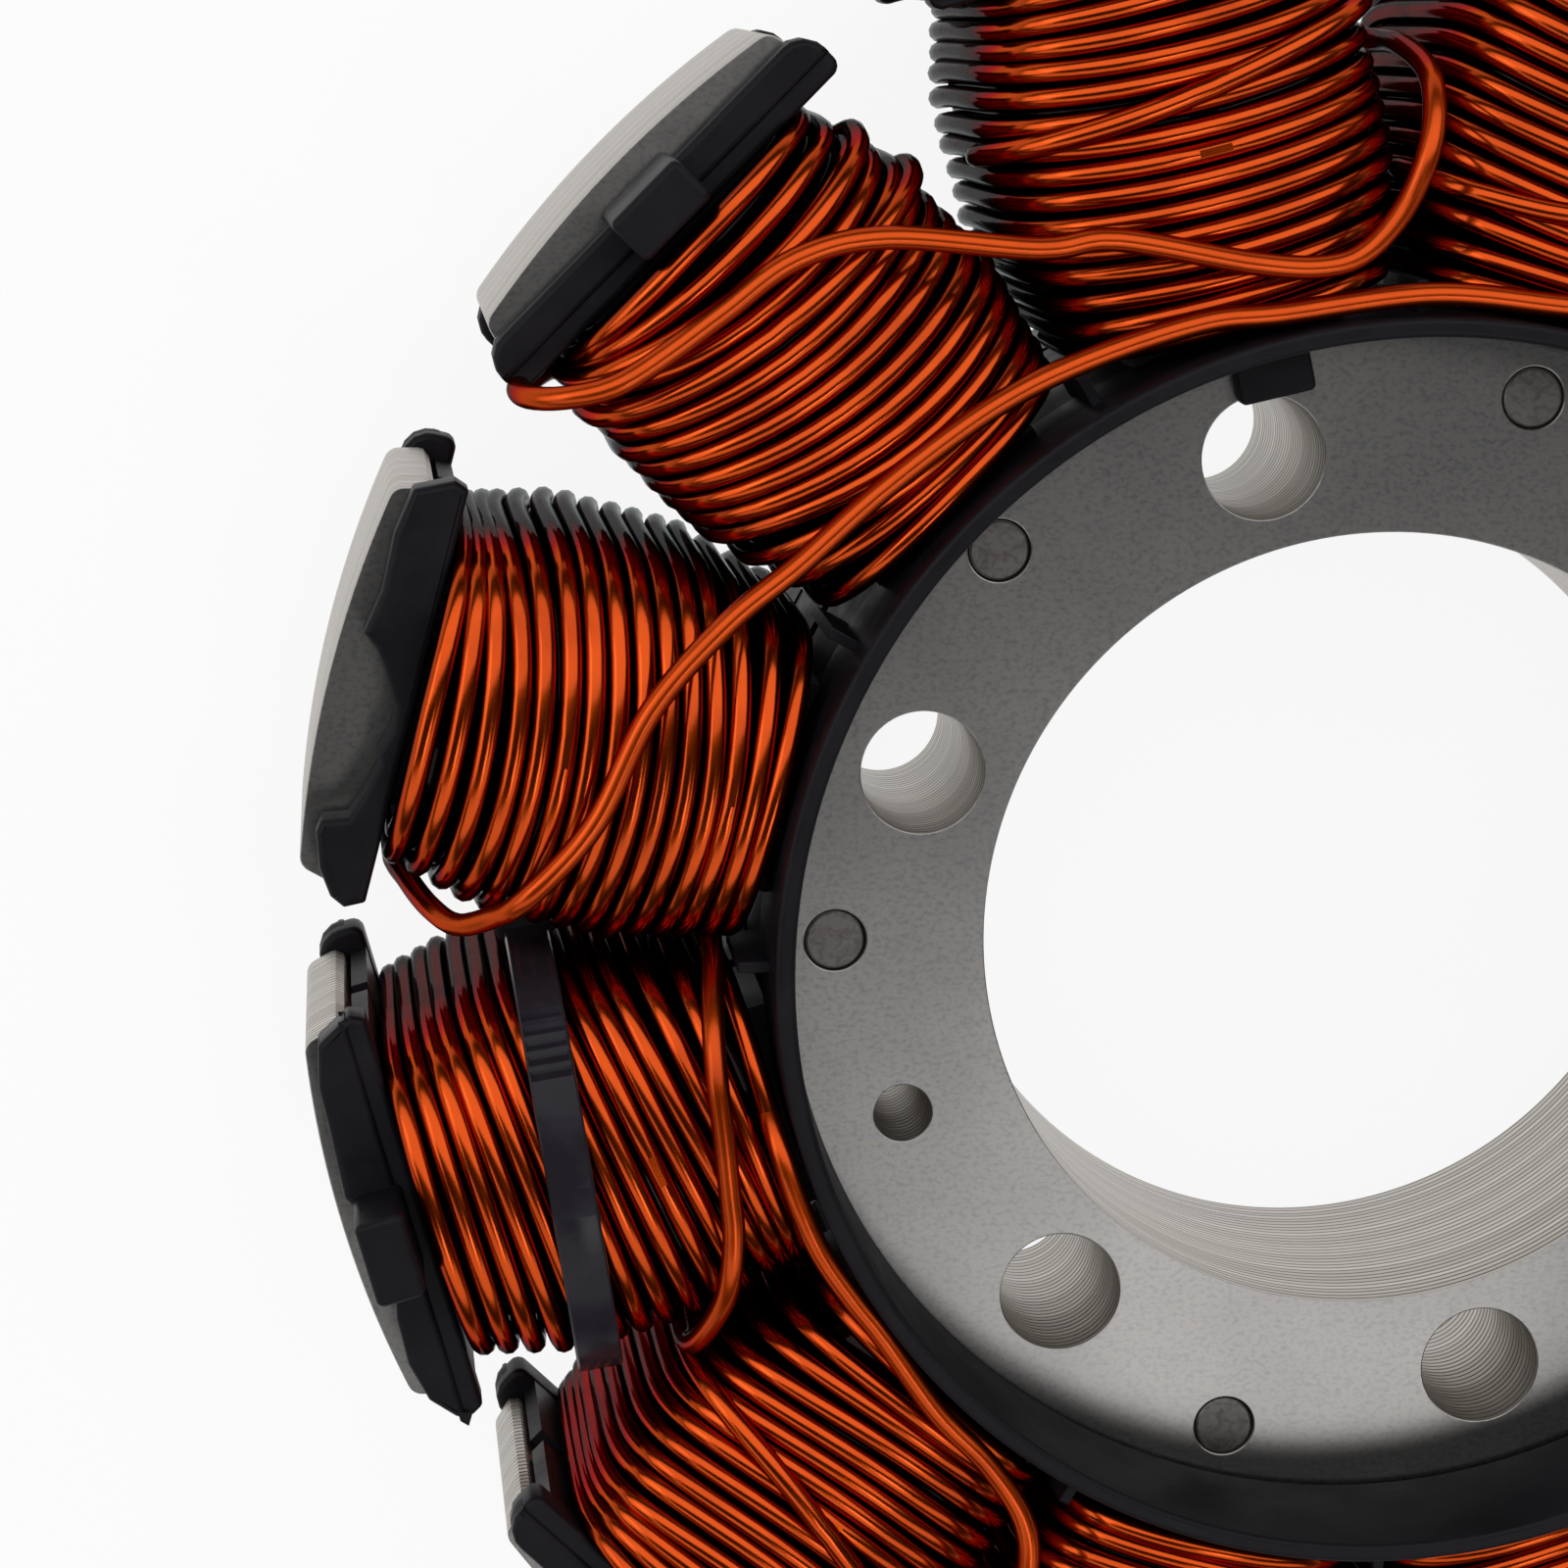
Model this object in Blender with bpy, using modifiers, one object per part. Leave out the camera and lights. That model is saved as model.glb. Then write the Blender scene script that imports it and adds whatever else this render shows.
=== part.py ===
# Wound stator of a small generator: laminated core, two moulded insulators, coils, rivets, wires and a tie.
# Metres, +Z up. The axis is Z, the front face is up, and the origin is where the axis meets the
# surface that the back insulator stands on.
import math

import bmesh
import bpy
from mathutils import Matrix, Vector

mm = 0.001

# Core
pole_count = 12
first_pole_angle = math.radians(15)
outer_diameter = 114 * mm
bore_diameter = 42.2 * mm
stack_height = 16 * mm
ring_width = 10.7 * mm
tooth_width = 9 * mm
shoe_width = 20.2 * mm
shoe_thickness = 3.2 * mm
shoe_flare = math.radians(15)
shoe_corner_radius = 0.8 * mm
shoe_tip_radius = 0.6 * mm
tooth_fillet = 1.0 * mm

# Holes in the ring, placed by the wall left beside them; the second half turn repeats the first
bolt_hole_diameter = 6.5 * mm
bolt_hole_wall = 1.65 * mm
bolt_angles = (105, 160, 230, 285, 340, 50)
rivet_hole_diameter = 3.3 * mm
rivet_hole_wall = 1.15 * mm
rivet_angles = (135, 180, 255, 315, 0, 75)
locating_hole_diameter = 3.1 * mm
locating_hole_wall = 3.15 * mm
locating_angles = (200.7, 20.7)

# Rivets
rivet_clearance = 0.25 * mm
rivet_recess = 0.1 * mm

# Insulators
seat_gap = 0.3 * mm
insulator_wall = 0.8 * mm
cover_thickness = 0.65 * mm
insulator_height = 7.8 * mm
halves_gap = 1.6 * mm
rim_overlap = 0.2 * mm
rim_wall = 1.4 * mm
rim_draft = 0.4 * mm
flange_wall = 0.9 * mm
flange_step = 0.1 * mm
flange_height = 3 * mm
flange_depth = 2.8 * mm
flange_width = 22.8 * mm
flange_end_radius = 1.3 * mm
tab_width = 4.6 * mm
tab_depth = 2.6 * mm
tab_overhang = 0.5 * mm
tab_edge = 0.35 * mm
rib_width = 0.6 * mm
rib_length = 1.6 * mm
rib_height = 5 * mm
rib_foot = 1.6 * mm
guide_tab_angle = math.radians(102.4)
guide_tab_width = 4 * mm
guide_tab_length = 2.6 * mm
guide_tab_thickness = 0.8 * mm
broken_pole = 5

# Coils
turn_pitch = 1.16 * mm
winding_depth_side = 4.2 * mm
winding_depth_top = 4.7 * mm
winding_corner = 3.2 * mm
coil_gap = 0.9 * mm
coil_taper = 1.7 * mm
coil_taper_length = 5.5 * mm
turn_relief = 0.35 * mm
turn_slant = 0.5 * mm

# Crossover wires
wire_diameter = 1.2 * mm
wire_clearance = 0.3 * mm
wire_rim_gap = 0.5 * mm
wire_step = 3 * mm

# Cable tie
tie_pole = 6
tie_room = 0.7 * mm
tie_width = 2.4 * mm
tie_thickness = 0.9 * mm
tie_clearance = 0.3 * mm
tie_slant = math.radians(-6.5)
tie_head_height = 4.4 * mm
tie_head_depth = 2.0 * mm
tie_head_width = 3.2 * mm

outer_radius = outer_diameter / 2
bore_radius = bore_diameter / 2
yoke_radius = bore_radius + ring_width
rim_inner_radius = yoke_radius - rim_overlap
rim_outer_radius = rim_inner_radius + rim_wall
half_pitch = math.pi / pole_count
bolt_circle_radius = bore_radius + bolt_hole_wall + bolt_hole_diameter / 2
rivet_circle_radius = yoke_radius - rivet_hole_wall - rivet_hole_diameter / 2
locating_circle_radius = yoke_radius - locating_hole_wall - locating_hole_diameter / 2
core_bottom = insulator_height
core_top = core_bottom + stack_height
core_middle = core_bottom + stack_height / 2
shoe_inner = outer_radius - shoe_thickness
flange_face = shoe_inner - seat_gap - flange_wall
flange_inner = flange_face - flange_step
coil_start = rim_outer_radius + seat_gap
flange_outer = flange_inner + flange_depth
coil_end = flange_inner - seat_gap
coil_hole_half_width = tooth_width / 2 + seat_gap + insulator_wall + seat_gap
coil_hole_half_height = stack_height / 2 + seat_gap + insulator_wall + seat_gap
coil_half_height = coil_hole_half_height + winding_depth_top
coil_half_width = coil_hole_half_width + winding_depth_side
wire_standoff = wire_diameter / 2 + wire_clearance
tie_distance = (coil_half_width + tie_clearance + tie_thickness + tie_room) / math.tan(half_pitch)


def clear_scene():
    for obj in list(bpy.data.objects):
        bpy.data.objects.remove(obj, do_unlink=True)


def make_collection(name):
    collection = bpy.data.collections.new(name)
    bpy.context.scene.collection.children.link(collection)
    return collection


def make_material(name, color, roughness, metallic):
    material = bpy.data.materials.new(name)
    material.use_nodes = True
    shader = material.node_tree.nodes["Principled BSDF"]
    shader.inputs["Base Color"].default_value = (*color, 1)
    shader.inputs["Roughness"].default_value = roughness
    shader.inputs["Metallic"].default_value = metallic
    return material


def turned(point, angle):
    x, y = point
    return (x * math.cos(angle) - y * math.sin(angle), x * math.sin(angle) + y * math.cos(angle))


def polar(radius, angle):
    return (radius * math.cos(angle), radius * math.sin(angle))


def pole_angle(index):
    return first_pole_angle + 2 * half_pitch * index


def arc(radius, start, end, steps):
    return [polar(radius, start + (end - start) * i / steps) for i in range(steps + 1)]


def circle(center, radius, steps):
    return [(center[0] + radius * math.cos(2 * math.pi * i / steps),
             center[1] + radius * math.sin(2 * math.pi * i / steps)) for i in range(steps)]


def fillet(before, corner, after, radius, steps):
    """Points of the round that replaces a corner."""
    corner = Vector(corner)
    to_before = (Vector(before) - corner).normalized()
    to_after = (Vector(after) - corner).normalized()
    half_angle = to_before.angle(to_after) / 2
    reach = radius / math.tan(half_angle)
    center = corner + (to_before + to_after).normalized() * radius / math.sin(half_angle)
    start = corner + to_before * reach - center
    end = corner + to_after * reach - center
    points = []
    for i in range(steps + 1):
        spoke = start.lerp(end, i / steps).normalized() * radius
        points.append(tuple(center + spoke))
    return points


def outline_object(name, loops, bottom, top, collection):
    """A closed mesh from flat loops: the outer ones filled, those inside them holes."""
    curve = bpy.data.curves.new(name, "CURVE")
    curve.dimensions = "2D"
    curve.fill_mode = "BOTH"
    curve.extrude = (top - bottom) / 2
    for loop in loops:
        spline = curve.splines.new("POLY")
        spline.points.add(len(loop) - 1)
        spline.use_cyclic_u = True
        for point, (x, y) in zip(spline.points, loop):
            point.co = (x, y, 0, 1)
    guide = bpy.data.objects.new(name + "_outline", curve)
    bpy.context.scene.collection.objects.link(guide)
    bpy.context.view_layer.update()
    graph = bpy.context.evaluated_depsgraph_get()
    mesh = bpy.data.meshes.new_from_object(guide.evaluated_get(graph))
    bpy.data.objects.remove(guide)
    for vertex in mesh.vertices:
        vertex.co.z = top if vertex.co.z > 0 else bottom
    weld_mesh(mesh)
    obj = bpy.data.objects.new(name, mesh)
    collection.objects.link(obj)
    return obj


def weld_mesh(mesh):
    shape = bmesh.new()
    shape.from_mesh(mesh)
    bmesh.ops.remove_doubles(shape, verts=shape.verts, dist=0.001 * mm)
    bmesh.ops.recalc_face_normals(shape, faces=shape.faces)
    shape.to_mesh(mesh)
    shape.free()


def finish(obj, material):
    obj.data.materials.clear()
    obj.data.materials.append(material)
    obj.data.shade_smooth()
    obj.data.set_sharp_from_angle(angle=math.radians(35))


def boolean(obj, other, operation):
    modifier = obj.modifiers.new(operation.lower() + "_" + other.name, "BOOLEAN")
    modifier.operation = operation
    modifier.solver = "MANIFOLD"
    modifier.object = other
    other.hide_render = True
    other.display_type = "WIRE"


# Core

def shoe_half_angle():
    return math.asin(shoe_width / 2 / outer_radius)


def shoe_corners():
    """Outer and inner corner of a shoe's end, on the side towards the next pole."""
    outer = polar(outer_radius, shoe_half_angle())
    inner = (shoe_inner, outer[1] + (outer[0] - shoe_inner) * math.tan(shoe_flare))
    return outer, inner


def half_pole_outline():
    """From the middle of the shoe's outer face to the middle of the slot floor, in the pole's own axes."""
    outer, inner = shoe_corners()
    neck = (shoe_inner, tooth_width / 2)
    root = (math.sqrt(yoke_radius ** 2 - (tooth_width / 2) ** 2), tooth_width / 2)
    root_angle = math.atan2(root[1], root[0])
    face = arc(outer_radius, 0, shoe_half_angle(), 3)[:-1]
    floor = polar(yoke_radius, root_angle + 0.2 * half_pitch)
    points = list(face)
    points += fillet(face[-1], outer, inner, shoe_corner_radius, 2)
    points += fillet(outer, inner, neck, shoe_tip_radius, 1)
    points += fillet(inner, neck, root, tooth_fillet, 1)
    points += fillet(neck, root, floor, tooth_fillet, 1)
    points += arc(yoke_radius, root_angle + 0.3 * half_pitch, half_pitch, 1)
    return points


def core_outline():
    half = half_pole_outline()
    pole = [(x, -y) for x, y in reversed(half[1:])] + half[:-1]
    return [turned(point, pole_angle(k)) for k in range(pole_count) for point in pole]


def hole_loops():
    loops = []
    for diameter, circle_radius, angles, steps in (
            (bolt_hole_diameter, bolt_circle_radius, bolt_angles, 16),
            (rivet_hole_diameter, rivet_circle_radius, rivet_angles, 12),
            (locating_hole_diameter, locating_circle_radius, locating_angles, 12)):
        for angle in angles:
            loops.append(circle(polar(circle_radius, math.radians(angle)), diameter / 2, steps))
    return loops


def build_core(collection, material):
    loops = [core_outline(), circle((0, 0), bore_radius, 48)] + hole_loops()
    finish(outline_object("laminated_core", loops, core_bottom, core_top, collection), material)


def build_rivets(collection, material):
    radius = rivet_hole_diameter / 2 - rivet_clearance
    for number, angle in enumerate(rivet_angles, 1):
        x, y = polar(rivet_circle_radius, math.radians(angle))
        bpy.ops.mesh.primitive_cylinder_add(vertices=12, radius=radius, depth=stack_height - 2 * rivet_recess,
                                            location=(x, y, core_middle))
        rivet = bpy.context.object
        rivet.name = f"rivet_{number:02d}"
        move_to(rivet, collection)
        finish(rivet, material)


def move_to(obj, collection):
    for old in list(obj.users_collection):
        old.objects.unlink(obj)
    collection.objects.link(obj)


# Insulators

def liner_sides():
    """Steel side and winding side of half a slot liner, from the flange's end to the slot's middle."""
    near, far = seat_gap, seat_gap + insulator_wall
    end = flange_width / 2 - flange_end_radius
    corner = max(tooth_fillet - near, 0.1 * near)
    face, y, floor = shoe_inner - near, tooth_width / 2 + near, yoke_radius + near
    x = math.sqrt(floor ** 2 - y ** 2)
    start = math.atan2(y, x)
    steel_side = [(face, end)]
    steel_side += fillet((face, end), (face, y), (x, y), corner, 1)
    steel_side += fillet((face, y), (x, y), polar(floor, start + 0.2 * half_pitch), corner, 1)
    steel_side += arc(floor, start + 0.3 * half_pitch, half_pitch, 1)
    y, floor = tooth_width / 2 + far, yoke_radius + far
    x = math.sqrt(floor ** 2 - y ** 2)
    winding_side = [(flange_face, end), (flange_face, y)] + arc(floor, math.atan2(y, x), half_pitch, 1)
    return steel_side, winding_side


def liner_loops():
    steel_side, winding_side = liner_sides()
    loops = []
    for k in range(pole_count):
        here, there = pole_angle(k), pole_angle(k + 1)
        loop = [turned(p, here) for p in steel_side]
        loop += [turned((x, -y), there) for x, y in reversed(steel_side[:-1])]
        loop += [turned((x, -y), there) for x, y in winding_side]
        loop += [turned(p, here) for p in reversed(winding_side[:-1])]
        loops.append(loop)
    return loops


def flange_loop(angle):
    """The strip that lies across a shoe's face, with its rounded ends."""
    half = flange_width / 2
    inner, outer = flange_inner, flange_outer
    side = fillet((outer, 0), (outer, half), (inner, half), flange_end_radius, 2)
    side += fillet((outer, half), (inner, half), (inner, 0), flange_end_radius, 1)
    loop = [(x, -y) for x, y in reversed(side)] + side
    return [turned(p, angle) for p in loop]


def rectangle(x0, x1, half_width, angle):
    return [turned(p, angle) for p in ((x0, -half_width), (x1, -half_width), (x1, half_width), (x0, half_width))]


def rim_object(name, side, collection):
    """The wall round the ring: a profile turned about the axis, thinner at its top."""
    low, high = side_levels(side, seat_gap, insulator_height)
    base, top = (low, high) if side > 0 else (high, low)
    outer = rim_outer_radius
    profile = [(outer, top), (outer, base), (rim_inner_radius, base), (rim_inner_radius + rim_draft, top)]
    if side < 0:
        profile.reverse()
    mesh = bpy.data.meshes.new(name)
    mesh.from_pydata([(r, 0, z) for r, z in profile], [(i, (i + 1) % 4) for i in range(4)], [])
    obj = bpy.data.objects.new(name, mesh)
    collection.objects.link(obj)
    screw = obj.modifiers.new("turn", "SCREW")
    screw.steps = screw.render_steps = 48
    screw.use_merge_vertices = True
    screw.merge_threshold = 0.01 * mm
    return baked(obj, collection)


def baked(obj, collection):
    """The object's evaluated shape as a plain mesh under the same name."""
    bpy.context.view_layer.update()
    graph = bpy.context.evaluated_depsgraph_get()
    mesh = bpy.data.meshes.new_from_object(obj.evaluated_get(graph))
    mesh.transform(obj.matrix_world)
    name = obj.name
    bpy.data.objects.remove(obj)
    weld_mesh(mesh)
    plain = bpy.data.objects.new(name, mesh)
    collection.objects.link(plain)
    return plain


def side_levels(side, inner, outer):
    """Heights of a layer that starts and ends at these distances outside the core's face on one side."""
    face = core_top if side > 0 else core_bottom
    levels = (face + side * inner, face + side * outer)
    return min(levels), max(levels)


def tab_loop(angle):
    """A block across a flange, with its corners eased."""
    outer = flange_outer + tab_overhang
    inner, half = outer - tab_depth, tab_width / 2
    corners = [(inner, -half), (outer, -half), (outer, half), (inner, half)]
    loop = []
    for i, corner in enumerate(corners):
        loop += fillet(corners[i - 1], corner, corners[(i + 1) % 4], tab_edge, 1)
    return [turned(p, angle) for p in loop]


def ribs_object(name, side, collection):
    """Gussets behind the rim, one in the middle of each slot."""
    low, high = side_levels(side, -rib_foot, rib_height)
    wall = rim_outer_radius
    loops = [rectangle(wall - insulator_wall / 2, wall + rib_length, rib_width / 2, pole_angle(k) + half_pitch)
             for k in range(pole_count)]
    return outline_object(name, loops, low, high, collection)


def break_loop():
    """Ragged edge where the block and part of the strip broke away, in shares of the strip's width and length."""
    half = flange_width / 2
    edge = ((2, -0.1), (1.13, -0.2), (0.88, -0.19), (0.6, -0.1), (0.36, 0.03), (0.33, 0.14), (0.4, 0.26),
            (0.44, 0.31), (0.72, 0.59), (1.05, 0.61), (2, 0.6))
    return [turned((flange_inner + out * flange_depth, across * half), pole_angle(broken_pole)) for out, across in edge]


def build_insulator(name, side, collection, helpers, material):
    low, high = side_levels(side, halves_gap / 2 - stack_height / 2, seat_gap + insulator_wall)
    body = outline_object(name, liner_loops(), low, high, collection)
    low, high = side_levels(side, seat_gap, seat_gap + cover_thickness)
    inner, outer = (rim_inner_radius + rim_outer_radius) / 2, flange_face + flange_wall / 2
    covers = [rectangle(inner, outer, tooth_width / 2 + seat_gap + insulator_wall / 2, pole_angle(k))
              for k in range(pole_count)]
    boolean(body, outline_object(name + "_covers", covers, low, high, helpers), "UNION")
    low, high = side_levels(side, seat_gap, flange_height)
    strips = [flange_loop(pole_angle(k)) for k in range(pole_count)]
    boolean(body, outline_object(name + "_strips", strips, low, high, helpers), "UNION")
    boolean(body, rim_object(name + "_rim", side, helpers), "UNION")
    boolean(body, ribs_object(name + "_ribs", side, helpers), "UNION")
    low, high = side_levels(side, seat_gap, insulator_height)
    tabs = [tab_loop(pole_angle(k)) for k in range(pole_count) if side < 0 or k != broken_pole]
    boolean(body, outline_object(name + "_tabs", tabs, low, high, helpers), "UNION")
    if side > 0:
        low, high = side_levels(side, seat_gap, seat_gap + guide_tab_thickness)
        guide = rectangle(rim_inner_radius - guide_tab_length, inner, guide_tab_width / 2, guide_tab_angle)
        boolean(body, outline_object(name + "_guide_tab", [guide], low, high, helpers), "UNION")
        low, high = side_levels(side, seat_gap, flange_height - tab_edge)
        stump = tab_loop(pole_angle(broken_pole))
        boolean(body, outline_object(name + "_stump", [stump], low, high, helpers), "UNION")
        low, high = side_levels(side, -seat_gap, insulator_height)
        boolean(body, outline_object(name + "_break", [break_loop()], low, high, helpers), "DIFFERENCE")
    finish(body, material)


# Coils

def coil_half_width_at(x):
    """Limited by the next coil near the ring, full further out, and a little less again at the flange."""
    slot_half = x * math.tan(half_pitch) - coil_gap / 2
    near_flange = max(0, x - coil_end + coil_taper_length) / coil_taper_length
    return min(coil_half_width - coil_taper * near_flange, slot_half)


def coil_corner_at(x):
    return min(winding_corner, coil_half_width_at(x) - coil_hole_half_width, winding_depth_top)


def coil_section(x, shrink):
    """Eight points round the winding at one distance along the pole, leaning as its turns do."""
    half_width = coil_half_width_at(x) - shrink
    half_height = coil_half_height - shrink
    corner = coil_corner_at(x)
    points = []
    for side_y, side_z in ((1, -1), (1, 1), (-1, 1), (-1, -1)):
        on_end = (side_y * (half_width - corner), side_z * half_height)
        on_side = (side_y * half_width, side_z * (half_height - corner))
        points += [on_end, on_side] if side_y * side_z < 0 else [on_side, on_end]
    return [(x + turn_slant * y / coil_half_width, y, z) for y, z in points]


def hole_section(x):
    w, h = coil_hole_half_width, coil_hole_half_height
    return [(x + turn_slant * y / coil_half_width, y, z) for y, z in ((w, -h), (w, h), (-w, h), (-w, -h))]


def coil_mesh():
    """A ridged sleeve: one ridge for each turn of the outer layer, with the pole's hole through it."""
    length = coil_end - coil_start - 2 * turn_slant
    turns = int(length / turn_pitch)
    pitch = length / turns
    first = coil_start + turn_slant
    rings = []
    for turn in range(turns):
        rings.append(coil_section(first + turn * pitch, turn_relief))
        rings.append(coil_section(first + (turn + 0.5) * pitch, 0))
    rings.append(coil_section(first + turns * pitch, turn_relief))
    shape = bmesh.new()
    outer = [[shape.verts.new(p) for p in ring] for ring in rings]
    hole = [[shape.verts.new(p) for p in hole_section(x)] for x in (first, first + length)]
    count = len(rings[0])
    for a, b in zip(outer, outer[1:]):
        for i in range(count):
            j = (i + 1) % count
            shape.faces.new((a[i], a[j], b[j], b[i]))
    for i in range(4):
        j = (i + 1) % 4
        shape.faces.new((hole[0][j], hole[0][i], hole[1][i], hole[1][j]))
        for ring, corners in ((outer[0], hole[0]), (outer[-1], hole[1])):
            shape.faces.new((ring[2 * i], ring[2 * i + 1], corners[i]))
            shape.faces.new((ring[2 * i + 1], ring[(2 * i + 2) % count], corners[j], corners[i]))
    bmesh.ops.recalc_face_normals(shape, faces=shape.faces)
    mesh = bpy.data.meshes.new("coil")
    shape.to_mesh(mesh)
    shape.free()
    return mesh


def build_coils(collection, material):
    mesh = coil_mesh()
    for k in range(pole_count):
        coil = bpy.data.objects.new(f"coil_{k + 1:02d}", mesh)
        coil.location.z = core_middle
        coil.rotation_euler.z = pole_angle(k)
        collection.objects.link(coil)
    finish(coil, material)


# Crossover wires, by points on the coils that they pass: a share of 0 is at the rim, 1 at the flange

def along(share):
    hub = rim_outer_radius + wire_rim_gap + wire_diameter / 2
    return hub + share * (coil_end - hub)


def on_top(share, angle):
    x, y = polar(along(share), math.radians(angle))
    return Vector((x, y, core_middle + coil_half_height + wire_standoff))


def on_shoulder(pole, side, share, part):
    """On the winding's rounded edge: part 0 at its side, 1 at its top."""
    x = along(share)
    off = wire_standoff / math.sqrt(2)
    y = coil_half_width_at(x) - coil_corner_at(x) * part + off
    z = coil_half_height - coil_corner_at(x) * (1 - part) + off
    return Vector((*turned((x, side * y), pole_angle(pole)), core_middle + z))


def beside_coil(pole, side, share, depth):
    x = along(share)
    y = coil_half_width_at(x) + wire_standoff
    return Vector((*turned((x, side * y), pole_angle(pole)), core_middle + coil_half_height - depth))


def in_slot(angle, share, depth):
    x, y = polar(along(share), math.radians(angle))
    return Vector((x, y, core_middle + coil_half_height - depth))


def wire_routes():
    down = winding_corner
    deep = coil_half_height
    return (
        [beside_coil(4, 1, 0.95, deep), beside_coil(4, 1, 0.955, 2 * down), on_shoulder(4, 1, 0.96, 0),
         on_shoulder(4, 1, 0.95, 0.5), on_shoulder(4, 1, 0.935, 1), on_top(0.89, 139.8), on_top(0.79, 133.2),
         on_top(0.60, 123.8), on_top(0.33, 113.6), on_top(0.15, 104.4), on_top(0.10, 99), on_top(0.13, 95.4),
         on_top(0.25, 92.2), on_top(0.42, 90.5), in_slot(90, 0.58, down / 3), in_slot(90, 0.66, 2 * down),
         in_slot(90, 0.67, deep)],
        [beside_coil(5, 1, 0.94, deep), beside_coil(5, 1, 0.9, 2.4 * down), beside_coil(5, 1, 0.83, 1.3 * down),
         on_shoulder(5, 1, 0.75, 0), on_shoulder(5, 1, 0.67, 0.5), on_shoulder(5, 1, 0.6, 1), on_top(0.48, 169),
         on_top(0.41, 160.4), on_top(0.31, 152.8), on_top(0.22, 146.3), on_top(0.16, 137.9),
         on_top(0.12, 127.7), on_top(0.08, 119.4), on_top(0.04, 109.7), on_top(0, 103), on_top(0, 90),
         on_top(0, 78), on_top(0.06, 71), on_top(0.18, 65.5), on_top(0.34, 62), on_top(0.48, 60.5),
         in_slot(60, 0.6, down / 3), in_slot(60, 0.68, 2 * down), in_slot(60, 0.69, deep)],
        [on_shoulder(6, -1, 0.1, 0.4), on_shoulder(6, -1, 0.1, 0.85), on_top(0.12, 188), on_top(0.14, 194),
         on_top(0.18, 199), on_top(0.25, 203.5), on_top(0.34, 206.5), on_top(0.44, 208.5),
         in_slot(210, 0.53, down / 3), in_slot(210, 0.58, 2 * down), in_slot(210, 0.58, deep)],
        [on_top(0, 193), on_top(0, 200), on_top(0, 208), on_top(0, 216), on_top(0, 224), on_top(0.02, 231),
         on_top(0.1, 236.6), on_top(0.24, 239.4), on_top(0.42, 240),
         in_slot(240, 0.56, down / 3), in_slot(240, 0.64, 2 * down), in_slot(240, 0.65, deep)],
    )


def smooth_path(points):
    """Points at even steps of a smooth curve through the route's own points."""
    ends = [2 * points[0] - points[1]] + list(points) + [2 * points[-1] - points[-2]]
    path = []
    for a, b, c, d in zip(ends, ends[1:], ends[2:], ends[3:]):
        steps = max(1, round((c - b).length / wire_step))
        for i in range(steps):
            t = i / steps
            path.append(0.5 * (2 * b + (c - a) * t + (2 * a - 5 * b + 4 * c - d) * t ** 2
                               + (3 * b - a - 3 * c + d) * t ** 3))
    return path + [points[-1]]


def build_wires(collection, material):
    for number, route in enumerate(wire_routes(), 1):
        curve = bpy.data.curves.new("crossover_wire", "CURVE")
        curve.dimensions = "3D"
        curve.bevel_depth = wire_diameter / 2
        curve.bevel_resolution = 1
        curve.use_fill_caps = True
        path = smooth_path(route)
        spline = curve.splines.new("POLY")
        spline.points.add(len(path) - 1)
        for point, place in zip(spline.points, path):
            point.co = (*place, 1)
        wire = bpy.data.objects.new(f"crossover_wire_{number:02d}", curve)
        collection.objects.link(wire)
        curve.materials.append(material)


def tie_loop(offset):
    """Outline of the winding with an offset, in the plane across the pole."""
    w = coil_half_width + offset
    h = coil_half_height + offset
    corners = [(w, -h), (w, h), (-w, h), (-w, -h)]
    loop = []
    for i, corner in enumerate(corners):
        loop += fillet(corners[i - 1], corner, corners[(i + 1) % 4], winding_corner, 3)
    return loop


def build_tie(collection, helpers, material):
    """A strap round one coil, with its head in the slot beside it."""
    loops = [tie_loop(tie_clearance + tie_thickness), tie_loop(tie_clearance)]
    strap = outline_object("cable_tie", loops, -tie_width / 2, tie_width / 2, collection)
    upright = Matrix(((0, 0, 1, 0), (1, 0, 0, 0), (0, 1, 0, 0), (0, 0, 0, 1)))
    angle = pole_angle(tie_pole)
    place = (Matrix.Translation((*polar(tie_distance, angle), core_middle))
             @ Matrix.Rotation(angle + tie_slant, 4, "Z") @ upright)
    strap.data.transform(place)
    bpy.ops.mesh.primitive_cube_add(size=1)
    head = bpy.context.object
    head.name = "cable_tie_head"
    move_to(head, helpers)
    head.data.transform(Matrix.Diagonal((tie_head_depth, tie_head_height, tie_head_width, 1)))
    beside = -(coil_half_width + tie_clearance + tie_thickness / 4 + tie_head_depth / 2)
    head.data.transform(place @ Matrix.Translation((beside, 0, 0)))
    boolean(strap, head, "UNION")
    finish(strap, material)


def build():
    clear_scene()
    parts = make_collection("wound_stator")
    helpers = make_collection("wound_stator_helpers")
    steel = make_material("laminated steel", (0.36, 0.36, 0.35), 0.45, 1.0)
    rivet_steel = make_material("rivet steel", (0.3, 0.3, 0.3), 0.5, 1.0)
    plastic = make_material("moulded nylon", (0.012, 0.012, 0.015), 0.45, 0.0)
    copper = make_material("enamelled copper", (0.62, 0.1, 0.02), 0.25, 0.9)
    tie_nylon = make_material("tie nylon", (0.015, 0.015, 0.017), 0.35, 0.0)
    build_core(parts, steel)
    build_rivets(parts, rivet_steel)
    build_insulator("front_insulator", 1, parts, helpers, plastic)
    build_insulator("back_insulator", -1, parts, helpers, plastic)
    build_coils(parts, copper)
    build_wires(parts, copper)
    build_tie(parts, helpers, tie_nylon)


build()
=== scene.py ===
# Wound stator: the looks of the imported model.
# Sizes in the dictionaries are millimetres. The axis is Z, the front face is up, and a pole's own axes are
# x outwards along the pole and y towards the next pole.
import math

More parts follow.
